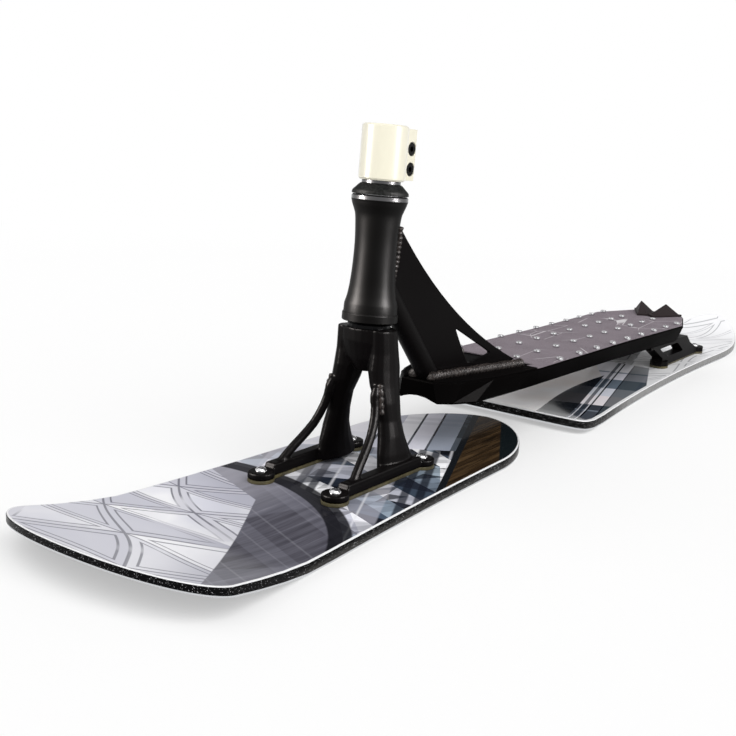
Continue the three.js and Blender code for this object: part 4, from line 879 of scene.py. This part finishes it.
def button_screw(node, body, sides=40):
    """A button head with its hexagon socket, on a plain shank as long as the CAD bolt's."""
    low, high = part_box(node)
    middle = Vector(((low.x + high.x) / 2, (low.y + high.y) / 2, 0))
    dome, shank, key = 0.0031, 0.0028, 0.0019
    head = high.z - dome
    reach = (high.x - low.x) / 2
    rings = [(shank, low.z), (shank, head), (reach, head), (reach, head + 0.0005),
             (reach * 0.96, head + 0.0013), (reach * 0.82, head + 0.0022), (reach * 0.62, head + 0.0029),
             (reach * 0.5, high.z)]
    turns = [2 * math.pi * j / sides for j in range(sides)]
    points = [middle + Vector((r * math.cos(turn), r * math.sin(turn), z))
              for r, z in rings for turn in turns]
    for z in (head + 0.0030, head + 0.0008):
        for turn in turns:
            r = key / math.cos((turn + math.radians(15)) % math.radians(60) - math.radians(30))
            points.append(middle + Vector((r * math.cos(turn), r * math.sin(turn), z)))
    faces = skin_faces(len(rings) + 2, sides, closed=False)
    faces += [list(range(sides))[::-1], list(range(len(points) - sides, len(points)))]
    screw = mesh_piece(f"{node}_screw", body, points, faces, bright_steel, 35)
    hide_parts(node)


for word, body in (("front", "steering"), ("rear", "frame")):
    for side in ("left", "right"):
        broken_edges(f"{word}_pad_{side}", body, foot_pad, 0.0004)
        for end in ("front", "rear"):
            button_screw(f"{word}_bolt_{end}_{side}", body)
            wear(brass, f"{word}_ski_insert_{end}_{side}")

# Grip sheet: mauve gritty paper glued to the deck, rubbed through to black at its front end, with
# pale cracks where the grit has broken. It lies flat on the deck, which tilts a little.
grip = Finish("grip_sheet", (0.15, 0.125, 0.14), 0.85, Specular_IOR_Level=0.01)
spot = grip.place()
grit = grip.noise(spot, 1400, 3)
mauve = grip.ramp(grip.noise(spot, 30, 4), (0.3, (0.155, 0.131, 0.147)), (0.7, (0.215, 0.185, 0.204)))
mauve = grip.mix(grip.rise(grit, 0.35, 0.7), mauve, (0.29, 0.255, 0.28))
cracks = grip.node("TexVoronoi", Vector=grip.turned(spot, 20, (1.0, 1.9, 0)), Scale=17.0)
cracks.feature = "DISTANCE_TO_EDGE"
crack = grip.both(grip.outside(grip.rise(cracks.outputs["Distance"], 0.004, 0.012)),
                  grip.rise(grip.noise(spot, 13, 1), 0.53, 0.60))
mauve = grip.paint(mauve, (crack, 0.8, (0.72, 0.70, 0.71)))
mauve = grip.mix(grip.beyond(spot, (-0.234, 0), 0), mauve, (0.004, 0.0034, 0.0034))
grip.give(Base_Color=mauve, Normal=grip.bump(grit, 0.5, 0.0006))
DECK = Matrix.Translation((-0.094, 0, 0.0776)) @ Matrix.Rotation(math.radians(-1.146), 4, "Y")
GRIP_THICK = 0.0013
sheet = broken_edges("grip_sheet", "frame", grip, 0)
to_deck = DECK.inverted()
for vertex in sheet.data.vertices:
    local = to_deck @ vertex.co
    if local.z > GRIP_THICK:
        local.z = GRIP_THICK
        vertex.co = DECK @ local

# Studs: turned steel buttons with a dished top, pressed through the grip sheet in four rows, so
# that a boot's sole bites on them.
stud_steel = Finish("stud_steel", (0.60, 0.60, 0.61), 0.15, 1.0)
worn = stud_steel.noise(stud_steel.place(), 900, 2)
stud_steel.give(Roughness=stud_steel.math("MULTIPLY_ADD", worn, 0.2, 0.06))
STUD_PROFILE = [(0.0036, 0.0001), (0.0037, 0.0006), (0.0037, 0.0024), (0.0034, 0.0030), (0.0030, 0.0031),
                (0.0019, 0.0031), (0.0017, 0.0029), (0.0016, 0.0010)]
STUDS_FRONT, STUDS_LONG = -0.158, 0.401
rows = ((0.054, (0.093, 0.212, 0.325, 0.436, 0.543, 0.647, 0.749, 0.847, 0.943)),
        (0.0185, (0.015, 0.131, 0.246, 0.358, 0.467, 0.572, 0.673, 0.772, 0.865, 0.958)),
        (-0.0185, (0.077, 0.197, 0.305, 0.413, 0.52, 0.628, 0.73, 0.828, 0.913)),
        (-0.054, (0.015, 0.131, 0.246, 0.358, 0.467, 0.572, 0.673, 0.772, 0.865, 0.958)))
points, faces, sides = [], [], 20
for y, shares in rows:
    for share in shares:
        start = len(points)
        middle = Vector((STUDS_FRONT - STUDS_LONG * share, y, GRIP_THICK))
        for j in range(sides):
            a = 2 * math.pi * j / sides
            points += [DECK @ (middle + Vector((r * math.cos(a), r * math.sin(a), h)))
                       for r, h in STUD_PROFILE]
        ring = len(STUD_PROFILE)
        for j in range(sides):
            for k in range(ring - 1):
                a, b = start + j * ring + k, start + (j + 1) % sides * ring + k
                faces.append((a, b, b + 1, a + 1))
        faces.append([start + j * ring + ring - 1 for j in range(sides)])
        faces.append([start + j * ring for j in range(sides)][::-1])
mesh_piece("grip_studs", "frame", points, faces, stud_steel, 35)

# Tail stop: a moulded rubber wedge with two horns, fixed at the end of the deck, where the heel of
# the rear foot meets it.
stop_rubber = grained("stop_rubber", (0.034, 0.027, 0.028), 0.5, 700.0, 0.3, 0.4, 0.0004,
                      Specular_IOR_Level=0.04)
broken_edges("tail_stop", "frame", stop_rubber, 0.0008, angle=15)

# Highlights: the two strip lamps light the coated metal, the headset and the clamp, so that long
# soft lines run down them, and leave the skis and the deck's grip alone.
strip_lit = bpy.data.collections.new("metal_for_strips")
beads = [f"{place}_bead_{side}" for place in ("neck_foot", "neck_tube", "strut")
         for side in ("left", "right")]
for name in ("head_tube_body", "head_tube_lip", "headset_cap_body", "spacer_ring", "bar_clamp_finished",
             "fork_finished", "neck_finished", "deck_finished", "rear_truck_finished", *beads):
    strip_lit.objects.link(bpy.data.objects[name])
for strip in ("left_strip", "right_strip"):
    bpy.data.objects[strip].light_linking.receiver_collection = strip_lit
